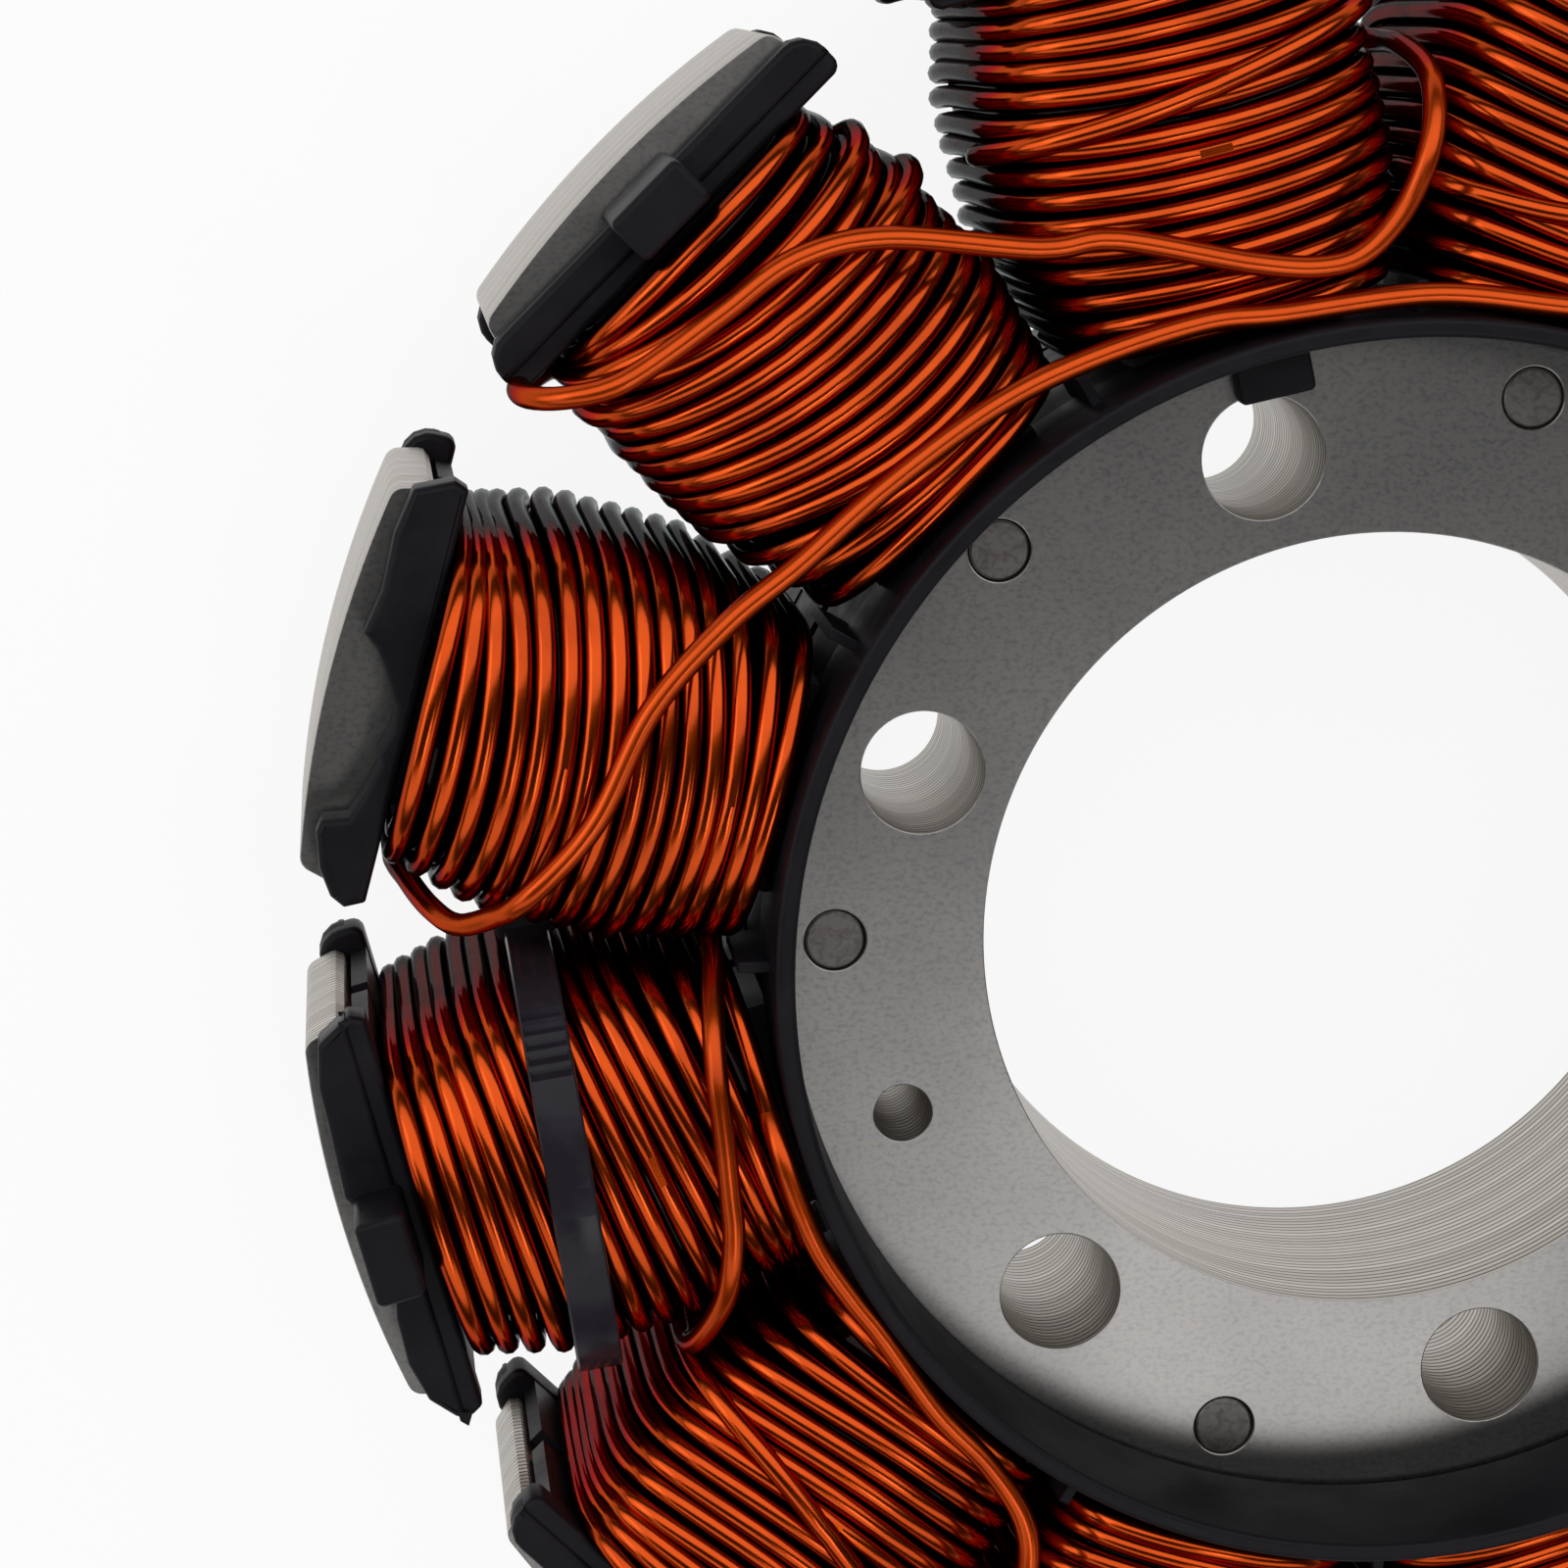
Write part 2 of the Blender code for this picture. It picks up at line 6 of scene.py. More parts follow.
import bmesh
import bpy
import numpy as np
from mathutils import Matrix, Vector


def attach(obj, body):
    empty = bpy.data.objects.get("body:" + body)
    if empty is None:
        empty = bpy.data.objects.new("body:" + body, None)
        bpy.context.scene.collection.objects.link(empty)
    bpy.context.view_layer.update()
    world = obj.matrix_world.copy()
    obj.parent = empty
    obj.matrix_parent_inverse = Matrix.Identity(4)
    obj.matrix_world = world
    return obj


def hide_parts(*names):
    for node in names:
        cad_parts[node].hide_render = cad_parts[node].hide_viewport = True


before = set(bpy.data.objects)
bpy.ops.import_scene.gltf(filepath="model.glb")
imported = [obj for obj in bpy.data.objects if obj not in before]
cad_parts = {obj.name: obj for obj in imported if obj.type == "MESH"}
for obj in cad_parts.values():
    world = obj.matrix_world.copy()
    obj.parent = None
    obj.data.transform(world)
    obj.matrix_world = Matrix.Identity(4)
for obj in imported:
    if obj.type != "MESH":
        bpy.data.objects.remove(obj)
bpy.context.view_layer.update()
scene = bpy.context.scene
mm = 0.001

stator = dict(poles=12, firstPole=15, poleStep=30, height=31.6, coreBottom=7.8, coreTop=23.8,
              outerRadius=56.98, boreRadius=21.1, yokeRadius=31.8, toothWidth=9,
              shoeWidth=20.2, shoeInner=53.8, shoeFlare=15, outerCorner=0.8, innerCorner=0.6, neckCorner=1.0)
slotMiddle = math.pi / stator["poles"]  # radians from a pole to the middle of the slot beside it
levelNormal = 0.9995  # a face whose normal's Z is above this counts as level


def toLinear(hexColour):
    channels = [int(hexColour[i:i + 2], 16) / 255 for i in (1, 3, 5)]
    return tuple(c / 12.92 if c <= 0.04045 else ((c + 0.055) / 1.055) ** 2.4 for c in channels) + (1,)


def addNode(tree, kind, settings=None, links=None):
    node = tree.nodes.new(kind)
    for name, value in (settings or {}).items():
        if isinstance(name, str) and hasattr(node, name):
            setattr(node, name, value)
        else:
            node.inputs[name].default_value = value
    for name, source in (links or {}).items():
        tree.links.new(source, node.inputs[name])
    return node


def startMaterial(name, **values):
    material = bpy.data.materials.new(name)
    material.use_nodes = True
    tree = material.node_tree
    shader = tree.nodes["Principled BSDF"]
    for socket, value in values.items():
        shader.inputs[socket.replace("_", " ")].default_value = value
    coords = addNode(tree, "ShaderNodeTexCoord").outputs["Object"]
    return material, tree, shader, coords


def setRamp(node, stops):
    ramp = node.color_ramp
    while len(ramp.elements) < len(stops):
        ramp.elements.new(0.5)
    for element, (place, hexColour) in zip(ramp.elements, stops):
        element.position = place
        element.color = toLinear(hexColour)
    return node


# Outlines

def turned(points, degrees):
    c, s = math.cos(math.radians(degrees)), math.sin(math.radians(degrees))
    return [(x * c - y * s, x * s + y * c) for x, y in points]


def arc(radius, start, end, steps):
    return [(radius * math.cos(a), radius * math.sin(a)) for a in np.linspace(start, end, steps + 1)]


def circle(place, radius, steps):
    return [(place[0] + x, place[1] + y) for x, y in arc(radius, 0, 2 * math.pi, steps)[:-1]]


def corner(before, at, after, radius, steps=4):
    at = Vector(at)
    toBefore, toAfter = (Vector(before) - at).normalized(), (Vector(after) - at).normalized()
    half = toBefore.angle(toAfter) / 2
    middle = at + (toBefore + toAfter).normalized() * radius / math.sin(half)
    start = at + toBefore * radius / math.tan(half) - middle
    end = at + toAfter * radius / math.tan(half) - middle
    return [tuple(middle + start.lerp(end, i / steps).normalized() * radius) for i in range(steps + 1)]


def roundedLoop(corners, radius, steps=4):
    radii = radius if isinstance(radius, (list, tuple)) else [radius] * len(corners)
    loop = []
    for i, at in enumerate(corners):
        after = corners[(i + 1) % len(corners)]
        loop += corner(corners[i - 1], at, after, radii[i], steps) if radii[i] else [at]
    return loop


def poleAngles():
    return [stator["firstPole"] + stator["poleStep"] * k for k in range(stator["poles"])]


# Meshes

def meshOf(name, points, faces):
    mesh = bpy.data.meshes.new(name)
    mesh.from_pydata([(x * mm, y * mm, z * mm) for x, y, z in points], [], faces)
    return mesh


def plate(loops, bottom, top, edge=0.0, rounds=2):
    # A filled outline with its edges eased, from a flat curve
    curve = bpy.data.curves.new("plate", "CURVE")
    curve.dimensions = "2D"
    curve.fill_mode = "BOTH"
    curve.extrude = ((top - bottom) / 2 - edge) * mm
    curve.bevel_depth = edge * mm
    curve.bevel_resolution = rounds
    curve.offset = -edge * mm
    for loop in loops:
        spline = curve.splines.new("POLY")
        spline.points.add(len(loop) - 1)
        spline.use_cyclic_u = True
        for point, (x, y) in zip(spline.points, loop):
            point.co = (x * mm, y * mm, 0, 1)
    guide = bpy.data.objects.new("plate", curve)
    scene.collection.objects.link(guide)
    mesh = evaluatedMesh(guide)
    mesh.transform(Matrix.Translation((0, 0, (bottom + top) / 2 * mm)))
    return mesh


def evaluatedMesh(guide):
    # The object's result as a plain mesh; the object itself goes
    bpy.context.view_layer.update()
    graph = bpy.context.evaluated_depsgraph_get()
    mesh = bpy.data.meshes.new_from_object(guide.evaluated_get(graph))
    bpy.data.objects.remove(guide)
    return mesh


def ringFaces(rings, count, closed=True):
    # Faces between neighbouring rings of count points each
    faces = []
    for i in range(rings if closed else rings - 1):
        here, there = i * count, (i + 1) % rings * count
        for j in range(count):
            faces.append((here + j, there + j, there + (j + 1) % count, here + (j + 1) % count))
    return faces


def lathe(profile, steps):
    points = []
    for a in np.linspace(0, 2 * math.pi, steps, endpoint=False):
        points += [(r * math.cos(a), r * math.sin(a), z) for r, z in profile]
    return meshOf("lathe", points, ringFaces(steps, len(profile)))


def joined(meshes):
    # One mesh of several closed bodies, doubles merged and faces turned outwards body by body
    shape = bmesh.new()
    for mesh in meshes:
        part = bmesh.new()
        part.from_mesh(mesh)
        bmesh.ops.remove_doubles(part, verts=part.verts, dist=0.002 * mm)
        bmesh.ops.dissolve_degenerate(part, edges=part.edges, dist=0.001 * mm)
        bmesh.ops.recalc_face_normals(part, faces=part.faces)
        plain = bpy.data.meshes.new("part")
        part.to_mesh(plain)
        part.free()
        shape.from_mesh(plain)
        bpy.data.meshes.remove(plain)
    result = bpy.data.meshes.new("joined")
    shape.to_mesh(result)
    shape.free()
    return result


def addPiece(name, mesh, materials, nodes, smoothAngle=35):
    piece = bpy.data.objects.new(name, mesh)
    mesh.name = name
    scene.collection.objects.link(piece)
    mesh.materials.clear()
    for material in materials:
        mesh.materials.append(material)
    mesh.shade_smooth()
    mesh.set_sharp_from_angle(angle=math.radians(smoothAngle))
    for face in mesh.polygons:
        # Level faces stay flat, so that their eased edges don't bend their reflections
        face.use_smooth = abs(face.normal.z) < levelNormal
    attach(piece, "root")
    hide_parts(*nodes)


# Laminated core

core = dict(face="#8b8987", faceDark="#7a7979", faceWarm="#8d8780", faceRoughness=0.29,
            grainSize=0.24, grainStretch=0.7, cloudSize=9, cloud="#f0f0f1",
            wallLight="#d2cdc6", wallDark="#b8b2ab", wallGroove="#4c4742", wallRoughness=0.42,
            sheet=0.5, sway=0.05, swaySize=3, edge=0.07, boreSides=192, boltSides=64, pinSides=40,
            boltRadius=3.25, boltCircle=26, bolts=(105, 160, 230, 285, 340, 50),
            rivetHole=1.65, rivetCircle=29, rivets=(135, 180, 255, 315, 0, 75),
            locatingRadius=1.55, locatingCircle=27.1, locating=(200.7, 20.7))


def steelFaceMaterial():
    # Electrical steel, rolled and stamped: satin grey with a fine grain along the rolling and faint cloudy
    # patches. The real grain is too fine to show, so it is drawn coarser.
    material, tree, shader, coords = startMaterial("stamped_electrical_steel", Metallic=1.0)
    rolled = addNode(tree, "ShaderNodeMapping", {"Scale": (core["grainStretch"], 1.0, 1.0)},
                     {"Vector": coords})
    grain = addNode(tree, "ShaderNodeTexNoise",
                    {"Scale": 1 / (core["grainSize"] * mm), "Detail": 2.0, "Roughness": 0.6},
                    {"Vector": rolled.outputs["Vector"]})
    cloud = addNode(tree, "ShaderNodeTexNoise", {"Scale": 1 / (core["cloudSize"] * mm), "Detail": 3.0},
                    {"Vector": coords})
    grainColour = setRamp(addNode(tree, "ShaderNodeValToRGB", links={"Fac": grain.outputs["Fac"]}),
                          ((0.3, core["faceDark"]), (0.54, core["face"]), (0.74, core["faceWarm"])))
    cloudColour = setRamp(addNode(tree, "ShaderNodeValToRGB", links={"Fac": cloud.outputs["Fac"]}),
                          ((0.3, core["cloud"]), (0.65, "#ffffff")))
    mix = addNode(tree, "ShaderNodeMix", {"data_type": "RGBA", "blend_type": "MULTIPLY", "Factor": 1.0},
                  {6: grainColour.outputs["Color"], 7: cloudColour.outputs["Color"]})
    tree.links.new(mix.outputs[2], shader.inputs["Base Color"])
    rough = addNode(tree, "ShaderNodeMapRange", {"From Min": 0.3, "From Max": 0.7,
                                                 "To Min": core["faceRoughness"] - 0.008,
                                                 "To Max": core["faceRoughness"] + 0.012},
                    {"Value": grain.outputs["Fac"]})
    tree.links.new(rough.outputs["Result"], shader.inputs["Roughness"])
    return material


def steelWallMaterial():
    # Cut edges of the sheets: a stack of 0.5 mm layers, each a little lighter or darker, with a dark joint
    # between them
    material, tree, shader, coords = startMaterial("laminated_sheet_edges", Metallic=1.0,
                                                   Roughness=core["wallRoughness"])
    split = addNode(tree, "ShaderNodeSeparateXYZ", links={"Vector": coords})
    wobble = addNode(tree, "ShaderNodeTexNoise", {"Scale": 1 / (core["swaySize"] * mm), "Detail": 1.0},
                     {"Vector": coords})
    sway = addNode(tree, "ShaderNodeMath", {"operation": "MULTIPLY", 1: core["sway"]},
                   {0: wobble.outputs["Fac"]})
    height = addNode(tree, "ShaderNodeMath", {"operation": "MULTIPLY", 1: 1 / (core["sheet"] * mm)},
                     {0: split.outputs["Z"]})
    level = addNode(tree, "ShaderNodeMath", {"operation": "ADD"}, {0: height.outputs[0], 1: sway.outputs[0]})
    sheet = addNode(tree, "ShaderNodeMath", {"operation": "FLOOR"}, {0: level.outputs[0]})
    inSheet = addNode(tree, "ShaderNodeMath", {"operation": "FRACT"}, {0: level.outputs[0]})
    shade = addNode(tree, "ShaderNodeTexWhiteNoise", {"noise_dimensions": "1D"}, {"W": sheet.outputs[0]})
    sheetColour = setRamp(addNode(tree, "ShaderNodeValToRGB", links={"Fac": shade.outputs["Value"]}),
                          ((0.0, core["wallDark"]), (1.0, core["wallLight"])))
    joint = setRamp(addNode(tree, "ShaderNodeValToRGB", links={"Fac": inSheet.outputs[0]}),
                    ((0.0, "#000000"), (0.24, "#ffffff"), (0.76, "#ffffff"), (1.0, "#000000")))
    mix = addNode(tree, "ShaderNodeMix", {"data_type": "RGBA", 6: toLinear(core["wallGroove"])},
                  {"Factor": joint.outputs["Color"], 7: sheetColour.outputs["Color"]})
    tree.links.new(mix.outputs[2], shader.inputs["Base Color"])
    bump = addNode(tree, "ShaderNodeBump", {"Strength": 0.5, "Distance": 0.05 * mm},
                   {"Height": joint.outputs["Color"]})
    tree.links.new(bump.outputs["Normal"], shader.inputs["Normal"])
    return material


def halfPoleOutline():
    outerY = stator["shoeWidth"] / 2
    outer = (math.sqrt(stator["outerRadius"] ** 2 - outerY ** 2), outerY)
    flare = math.tan(math.radians(stator["shoeFlare"]))
    inner = (stator["shoeInner"], outerY + (outer[0] - stator["shoeInner"]) * flare)
    half = stator["toothWidth"] / 2
    neck, root = (stator["shoeInner"], half), (math.sqrt(stator["yokeRadius"] ** 2 - half ** 2), half)
    start = math.atan2(root[1], root[0])
    face = arc(stator["outerRadius"], 0, math.asin(outerY / stator["outerRadius"]), 12)[:-1]
    pastRoot = arc(stator["yokeRadius"], 0, start + 0.05, 1)[1]  # radians, as in the last arc
    points = list(face)
    points += corner(face[-1], outer, inner, stator["outerCorner"], 4)
    points += corner(outer, inner, neck, stator["innerCorner"], 3)
    points += corner(inner, neck, root, stator["neckCorner"], 3)
    points += corner(neck, root, pastRoot, stator["neckCorner"], 3)
    points += arc(stator["yokeRadius"], start + 0.08, slotMiddle, 4)
    return points


def buildCore():
    half = halfPoleOutline()
    pole = [(x, -y) for x, y in reversed(half[1:])] + half[:-1]
    outline = [p for angle in poleAngles() for p in turned(pole, angle)]
    loops = [outline, circle((0, 0), stator["boreRadius"], core["boreSides"])]
    holes = ((core["boltRadius"], core["boltCircle"], core["bolts"], core["boltSides"]),
             (core["rivetHole"], core["rivetCircle"], core["rivets"], core["pinSides"]),
             (core["locatingRadius"], core["locatingCircle"], core["locating"], core["pinSides"]))
    for radius, onCircle, angles, sides in holes:
        loops += [circle(turned([(onCircle, 0)], angle)[0], radius, sides) for angle in angles]
    mesh = joined([plate(loops, stator["coreBottom"], stator["coreTop"], core["edge"], 1)])
    addPiece("steel_core", mesh, [steelFaceMaterial(), steelWallMaterial()], ["laminated_core"])
    for face in mesh.polygons:
        face.material_index = 0 if abs(face.normal.z) > 0.5 else 1


buildCore()
print("core made")


# Rivets

rivet = dict(radius=1.56, edge=0.09, endScale=0.93, recess=0.06, sides=48, seed=4,
             steel="#6a6765", steelDark="#585453", roughness=0.42, smearSize=0.5)


def rivetMaterial():
    # Peened mild steel pins: darker than the ring, with a smeared dull face
    material, tree, shader, coords = startMaterial("peened_rivet_steel", Metallic=1.0,
                                                   Roughness=rivet["roughness"])
    smear = addNode(tree, "ShaderNodeTexNoise",
                    {"Scale": 1 / (rivet["smearSize"] * mm), "Detail": 4.0, "Distortion": 1.0},
                    {"Vector": coords})
    colour = setRamp(addNode(tree, "ShaderNodeValToRGB", links={"Fac": smear.outputs["Fac"]}),
                     ((0.35, rivet["steelDark"]), (0.6, rivet["steel"])))
    tree.links.new(colour.outputs["Color"], shader.inputs["Base Color"])
    bump = addNode(tree, "ShaderNodeBump", {"Strength": 0.15, "Distance": 0.05 * mm},
                   {"Height": smear.outputs["Fac"]})
    tree.links.new(bump.outputs["Normal"], shader.inputs["Normal"])
    return material


def startTree(name, sockets):
    # A Geometry Nodes tree with a geometry input and output and the named sizes
    tree = bpy.data.node_groups.new(name, "GeometryNodeTree")
    tree.interface.new_socket("Geometry", in_out="INPUT", socket_type="NodeSocketGeometry")
    for title, kind in sockets:
        tree.interface.new_socket(title, in_out="INPUT", socket_type="NodeSocket" + kind)
    tree.interface.new_socket("Geometry", in_out="OUTPUT", socket_type="NodeSocketGeometry")
    return tree, addNode(tree, "NodeGroupInput").outputs


def endTree(tree, geometry, material):
    real = addNode(tree, "GeometryNodeRealizeInstances", links={"Geometry": geometry})
    coated = addNode(tree, "GeometryNodeSetMaterial",
                     links={"Geometry": real.outputs[0], "Material": material})
    addNode(tree, "NodeGroupOutput", links={0: coated.outputs[0]})


def grown(data, tree, values):
    # The tree's result on this curve or mesh, as a plain mesh
    guide = bpy.data.objects.new("guide", data)
    scene.collection.objects.link(guide)
    modifier = guide.modifiers.new("grow", "NODES")
    modifier.node_group = tree
    for item in tree.interface.items_tree:
        if item.in_out == "INPUT" and item.name in values:
            modifier[item.identifier] = values[item.name]
    return evaluatedMesh(guide)


def rivetTree():
    tree, given = startTree("rivets", (("Radius", "Float"), ("Length", "Float"), ("Edge", "Float"),
                                       ("Sides", "Int"), ("Seed", "Int"), ("Material", "Material")))
    pin = addNode(tree, "GeometryNodeMeshCylinder", {"fill_type": "NGON"},
                  {"Vertices": given["Sides"], "Radius": given["Radius"], "Depth": given["Length"]})
    normal = addNode(tree, "GeometryNodeInputNormal")
    split = addNode(tree, "ShaderNodeSeparateXYZ", links={0: normal.outputs[0]})
    size = addNode(tree, "ShaderNodeMath", {"operation": "ABSOLUTE"}, {0: split.outputs["Z"]})
    isEnd = addNode(tree, "FunctionNodeCompare",
                    {"data_type": "FLOAT", "operation": "GREATER_THAN", 1: 0.5}, {0: size.outputs[0]})
    raised = addNode(tree, "GeometryNodeExtrudeMesh", {"mode": "FACES", "Individual": True},
                     {"Mesh": pin.outputs["Mesh"], "Selection": isEnd.outputs[0],
                      "Offset Scale": given["Edge"]})
    drawn = addNode(tree, "GeometryNodeScaleElements", {"domain": "FACE", "Scale": rivet["endScale"]},
                    {"Geometry": raised.outputs["Mesh"], "Selection": raised.outputs["Top"]})
    spin = addNode(tree, "FunctionNodeRandomValue", {"data_type": "FLOAT", 2: 0.0, 3: 2 * math.pi},
                   {"Seed": given["Seed"]})
    turn = addNode(tree, "ShaderNodeCombineXYZ", links={"Z": spin.outputs[1]})
    placed = addNode(tree, "GeometryNodeInstanceOnPoints",
                     links={"Points": given["Geometry"], "Instance": drawn.outputs[0],
                            "Rotation": turn.outputs[0]})
    endTree(tree, placed.outputs[0], given["Material"])
    return tree


def buildRivets():
    middle = (stator["coreBottom"] + stator["coreTop"]) / 2
    places = [(*turned([(core["rivetCircle"], 0)], angle)[0], middle) for angle in core["rivets"]]
    length = stator["coreTop"] - stator["coreBottom"] - 2 * (rivet["recess"] + rivet["edge"])
    steel = rivetMaterial()
    mesh = grown(meshOf("rivet_places", places, []), rivetTree(),
                 {"Radius": rivet["radius"] * mm, "Length": length * mm, "Edge": rivet["edge"] * mm,
                  "Sides": rivet["sides"], "Seed": rivet["seed"], "Material": steel})
    nodes = [f"rivet_{number:02d}" for number in range(1, len(places) + 1)]
    addPiece("rivets", mesh, [steel], nodes, smoothAngle=25)


buildRivets()
print("rivets made")


# Insulators

insulator = dict(gap=0.3, wall=0.8, halves=1.6, linerShort=1.3, linerFace=0.9,
                 cover=0.65, coverInner=32.3, coverOuter=52.9, coverSide=0.4, coverEdge=0.1,
                 rimInner=31.6, rimTopInner=32.0, rimOuter=33.0, rimEdge=0.3, rimFoot=0.1, rimSides=192,
                 flangeInner=52.5, flangeOuter=55.3, flangeHalf=11.4, flangeHeight=3.0, flangeEdge=0.35,
                 flangeCorners=(0.6, 1.5, 1.5, 0.6), ridge=0.28, ridgeFrom=53.5, ridgeFoot=1,
                 tabHalf=2.3, tabInner=53.2, tabOuter=55.8, tabCorner=0.4, tabEdge=0.35,
                 ribInner=32.6, ribWidth=0.6, ribLength=1.6, ribHeight=5, ribFoot=1.6, ribEdge=0.1,
                 guideAngle=102.4, guideHalf=2, guideInner=29, guideOuter=32.3, guideThickness=0.8,
                 guideFoot=0.25, guideCorner=0.3, guideEdge=0.15,
                 brokenPole=165, brokenCorner=0.12, widePole=195, wideCorner=0.3,
                 nylon="#121014", nylonWorn="#1a181d", roughness=0.42, grainSize=0.25)

# The two flanges of the front whose outline isn't the usual one, in the pole's axes
brokenFlange = ((52.5, -11.2), (53.3, -11.5), (55.2, -10.6), (55.6, -8.2), (55.5, -5.2), (55.9, -2.9),
                (55.1, -2.3), (54.4, -1.3), (53.5, 0.3), (53.4, 1.6), (53.75, 2.8), (53.55, 3.4), (53.9, 4.9),
                (54.4, 6.5), (55.7, 6.9), (55.8, 7.6), (55.2, 9.4), (54.3, 10.7), (53.5, 11.1), (52.5, 10.6))
wideFlange = ((52.5, -11.2), (53.3, -11.6), (55.2, -10.6), (55.8, -8.4), (55.9, -6.3), (56.2, -2.3),
              (55.4, -0.9), (55.2, 3.4), (55.5, 4.8), (55.6, 7.4), (55.1, 9.6), (54.0, 10.9), (53.2, 11.2),
              (52.5, 10.8))


def nylonMaterial(name, dark, light, roughness, grainSize):
    # Injection-moulded black nylon: near black, with a soft sheen, a fine grain and paler scuffs. The real
    # grain is too fine to show, so it is drawn coarser.
    material, tree, shader, coords = startMaterial(name, IOR=1.53, Specular_IOR_Level=0.1)
    cloud = addNode(tree, "ShaderNodeTexNoise", {"Scale": 1 / (4 * mm), "Detail": 5.0, "Roughness": 0.65},
                    {"Vector": coords})
    colour = setRamp(addNode(tree, "ShaderNodeValToRGB", links={"Fac": cloud.outputs["Fac"]}),
                     ((0.42, dark), (0.72, light)))
    tree.links.new(colour.outputs["Color"], shader.inputs["Base Color"])
    rough = addNode(tree, "ShaderNodeMapRange", {"From Min": 0.3, "From Max": 0.7,
                                                 "To Min": roughness - 0.08, "To Max": roughness + 0.12},
                    {"Value": cloud.outputs["Fac"]})
    tree.links.new(rough.outputs["Result"], shader.inputs["Roughness"])
    grain = addNode(tree, "ShaderNodeTexNoise", {"Scale": 1 / (grainSize * mm), "Detail": 2.0},
                    {"Vector": coords})
    bump = addNode(tree, "ShaderNodeBump", {"Strength": 0.25, "Distance": 0.04 * mm},
                   {"Height": grain.outputs["Fac"]})
    tree.links.new(bump.outputs["Normal"], shader.inputs["Normal"])
    return material


def linerLoops():
    near, far = insulator["gap"], insulator["gap"] + insulator["wall"]
    end, face = insulator["flangeHalf"] - insulator["linerShort"], stator["shoeInner"] - near
    sides = []
    for depth, x0 in ((near, face), (far, face - insulator["linerFace"])):
        y, floor = stator["toothWidth"] / 2 + depth, stator["yokeRadius"] + depth
        x = math.sqrt(floor ** 2 - y ** 2)
        sides.append([(x0, end), (x0, y), (x, y)] + arc(floor, math.atan2(y, x) + 0.02, slotMiddle, 3))
    (outside, inside), loops = sides, []
    for angle in poleAngles():
        after = angle + stator["poleStep"]
        loop = turned(outside, angle) + turned([(x, -y) for x, y in reversed(outside[:-1])], after)
        loop += turned([(x, -y) for x, y in inside], after) + turned(list(reversed(inside[:-1])), angle)
        loops.append(loop)
    return loops


def levels(side, low, high):
    # Heights of a layer on the front or the back of the core
    face = stator["coreTop"] if side > 0 else stator["coreBottom"]
    return sorted((face + side * low, face + side * high))


def rimMesh(side):
    low, high = levels(side, insulator["gap"], stator["height"] - stator["coreTop"])
    base, top = (low, high) if side > 0 else (high, low)
    corners = [(insulator["rimOuter"], top), (insulator["rimOuter"], base), (insulator["rimInner"], base),
               (insulator["rimTopInner"], top)]
    edges = [insulator[name] for name in ("rimEdge", "rimFoot", "rimFoot", "rimEdge")]
    return lathe(roundedLoop(corners, edges), insulator["rimSides"])


def rectangle(x0, x1, half):
    return [(x0, -half), (x1, -half), (x1, half), (x0, half)]


def flangeOutline(side, angle):
    if side > 0 and angle == insulator["brokenPole"]:
        return roundedLoop(brokenFlange, insulator["brokenCorner"], 1)
    if side > 0 and angle == insulator["widePole"]:
        return roundedLoop(wideFlange, insulator["wideCorner"], 2)
    return roundedLoop(rectangle(insulator["flangeInner"], insulator["flangeOuter"], insulator["flangeHalf"]),
                       insulator["flangeCorners"])


def buildInsulator(name, node, side, nylon):
    gap, edge = insulator["gap"], insulator["flangeEdge"]
    halfStack = (stator["coreTop"] - stator["coreBottom"]) / 2
    liner = levels(side, insulator["halves"] / 2 - halfStack, gap + insulator["wall"])
    parts = [plate([loop], *liner) for loop in linerLoops()]
    parts.append(rimMesh(side))

    def add(outline, angle, low, high, edge, rounds):
        parts.append(plate([turned(outline, angle)], *levels(side, low, high), edge, rounds))

    cover = rectangle(insulator["coverInner"], insulator["coverOuter"],
                      stator["toothWidth"] / 2 + gap + insulator["coverSide"])
    rib = rectangle(insulator["ribInner"], insulator["rimOuter"] + insulator["ribLength"],
                    insulator["ribWidth"] / 2)
    tab = roundedLoop(rectangle(insulator["tabInner"], insulator["tabOuter"], insulator["tabHalf"]),
                      insulator["tabCorner"])
    for angle in poleAngles():
        whole = side < 0 or angle != insulator["brokenPole"]
        add(cover, angle, gap, gap + insulator["cover"], insulator["coverEdge"], 1)
        outline = flangeOutline(side, angle)
        add(outline, angle, gap, insulator["flangeHeight"] - insulator["ridge"], edge, 3)
        if whole:
            raised = [(max(x, insulator["ridgeFrom"]), y) for x, y in outline]
            add(raised, angle, insulator["ridgeFoot"], insulator["flangeHeight"], edge, 3)
        add(rib, angle + stator["poleStep"] / 2, -insulator["ribFoot"], insulator["ribHeight"],
            insulator["ribEdge"], 1)
        if whole:
            add(tab, angle, gap, stator["height"] - stator["coreTop"], insulator["tabEdge"], 3)
    if side > 0:
        corners = [insulator["guideCorner"], 0, 0, insulator["guideCorner"]]
        guide = rectangle(insulator["guideInner"], insulator["guideOuter"], insulator["guideHalf"])
        add(roundedLoop(guide, corners, 3), insulator["guideAngle"], gap - insulator["guideFoot"],
            gap + insulator["guideThickness"], insulator["guideEdge"], 2)
    addPiece(name, joined(parts), [nylon], [node], smoothAngle=40)


nylon = nylonMaterial("moulded_black_nylon", insulator["nylon"], insulator["nylonWorn"],
                      insulator["roughness"], insulator["grainSize"])
buildInsulator("front_moulding", "front_insulator", 1, nylon)
buildInsulator("back_moulding", "back_insulator", -1, nylon)
print("insulators made")


# Coils

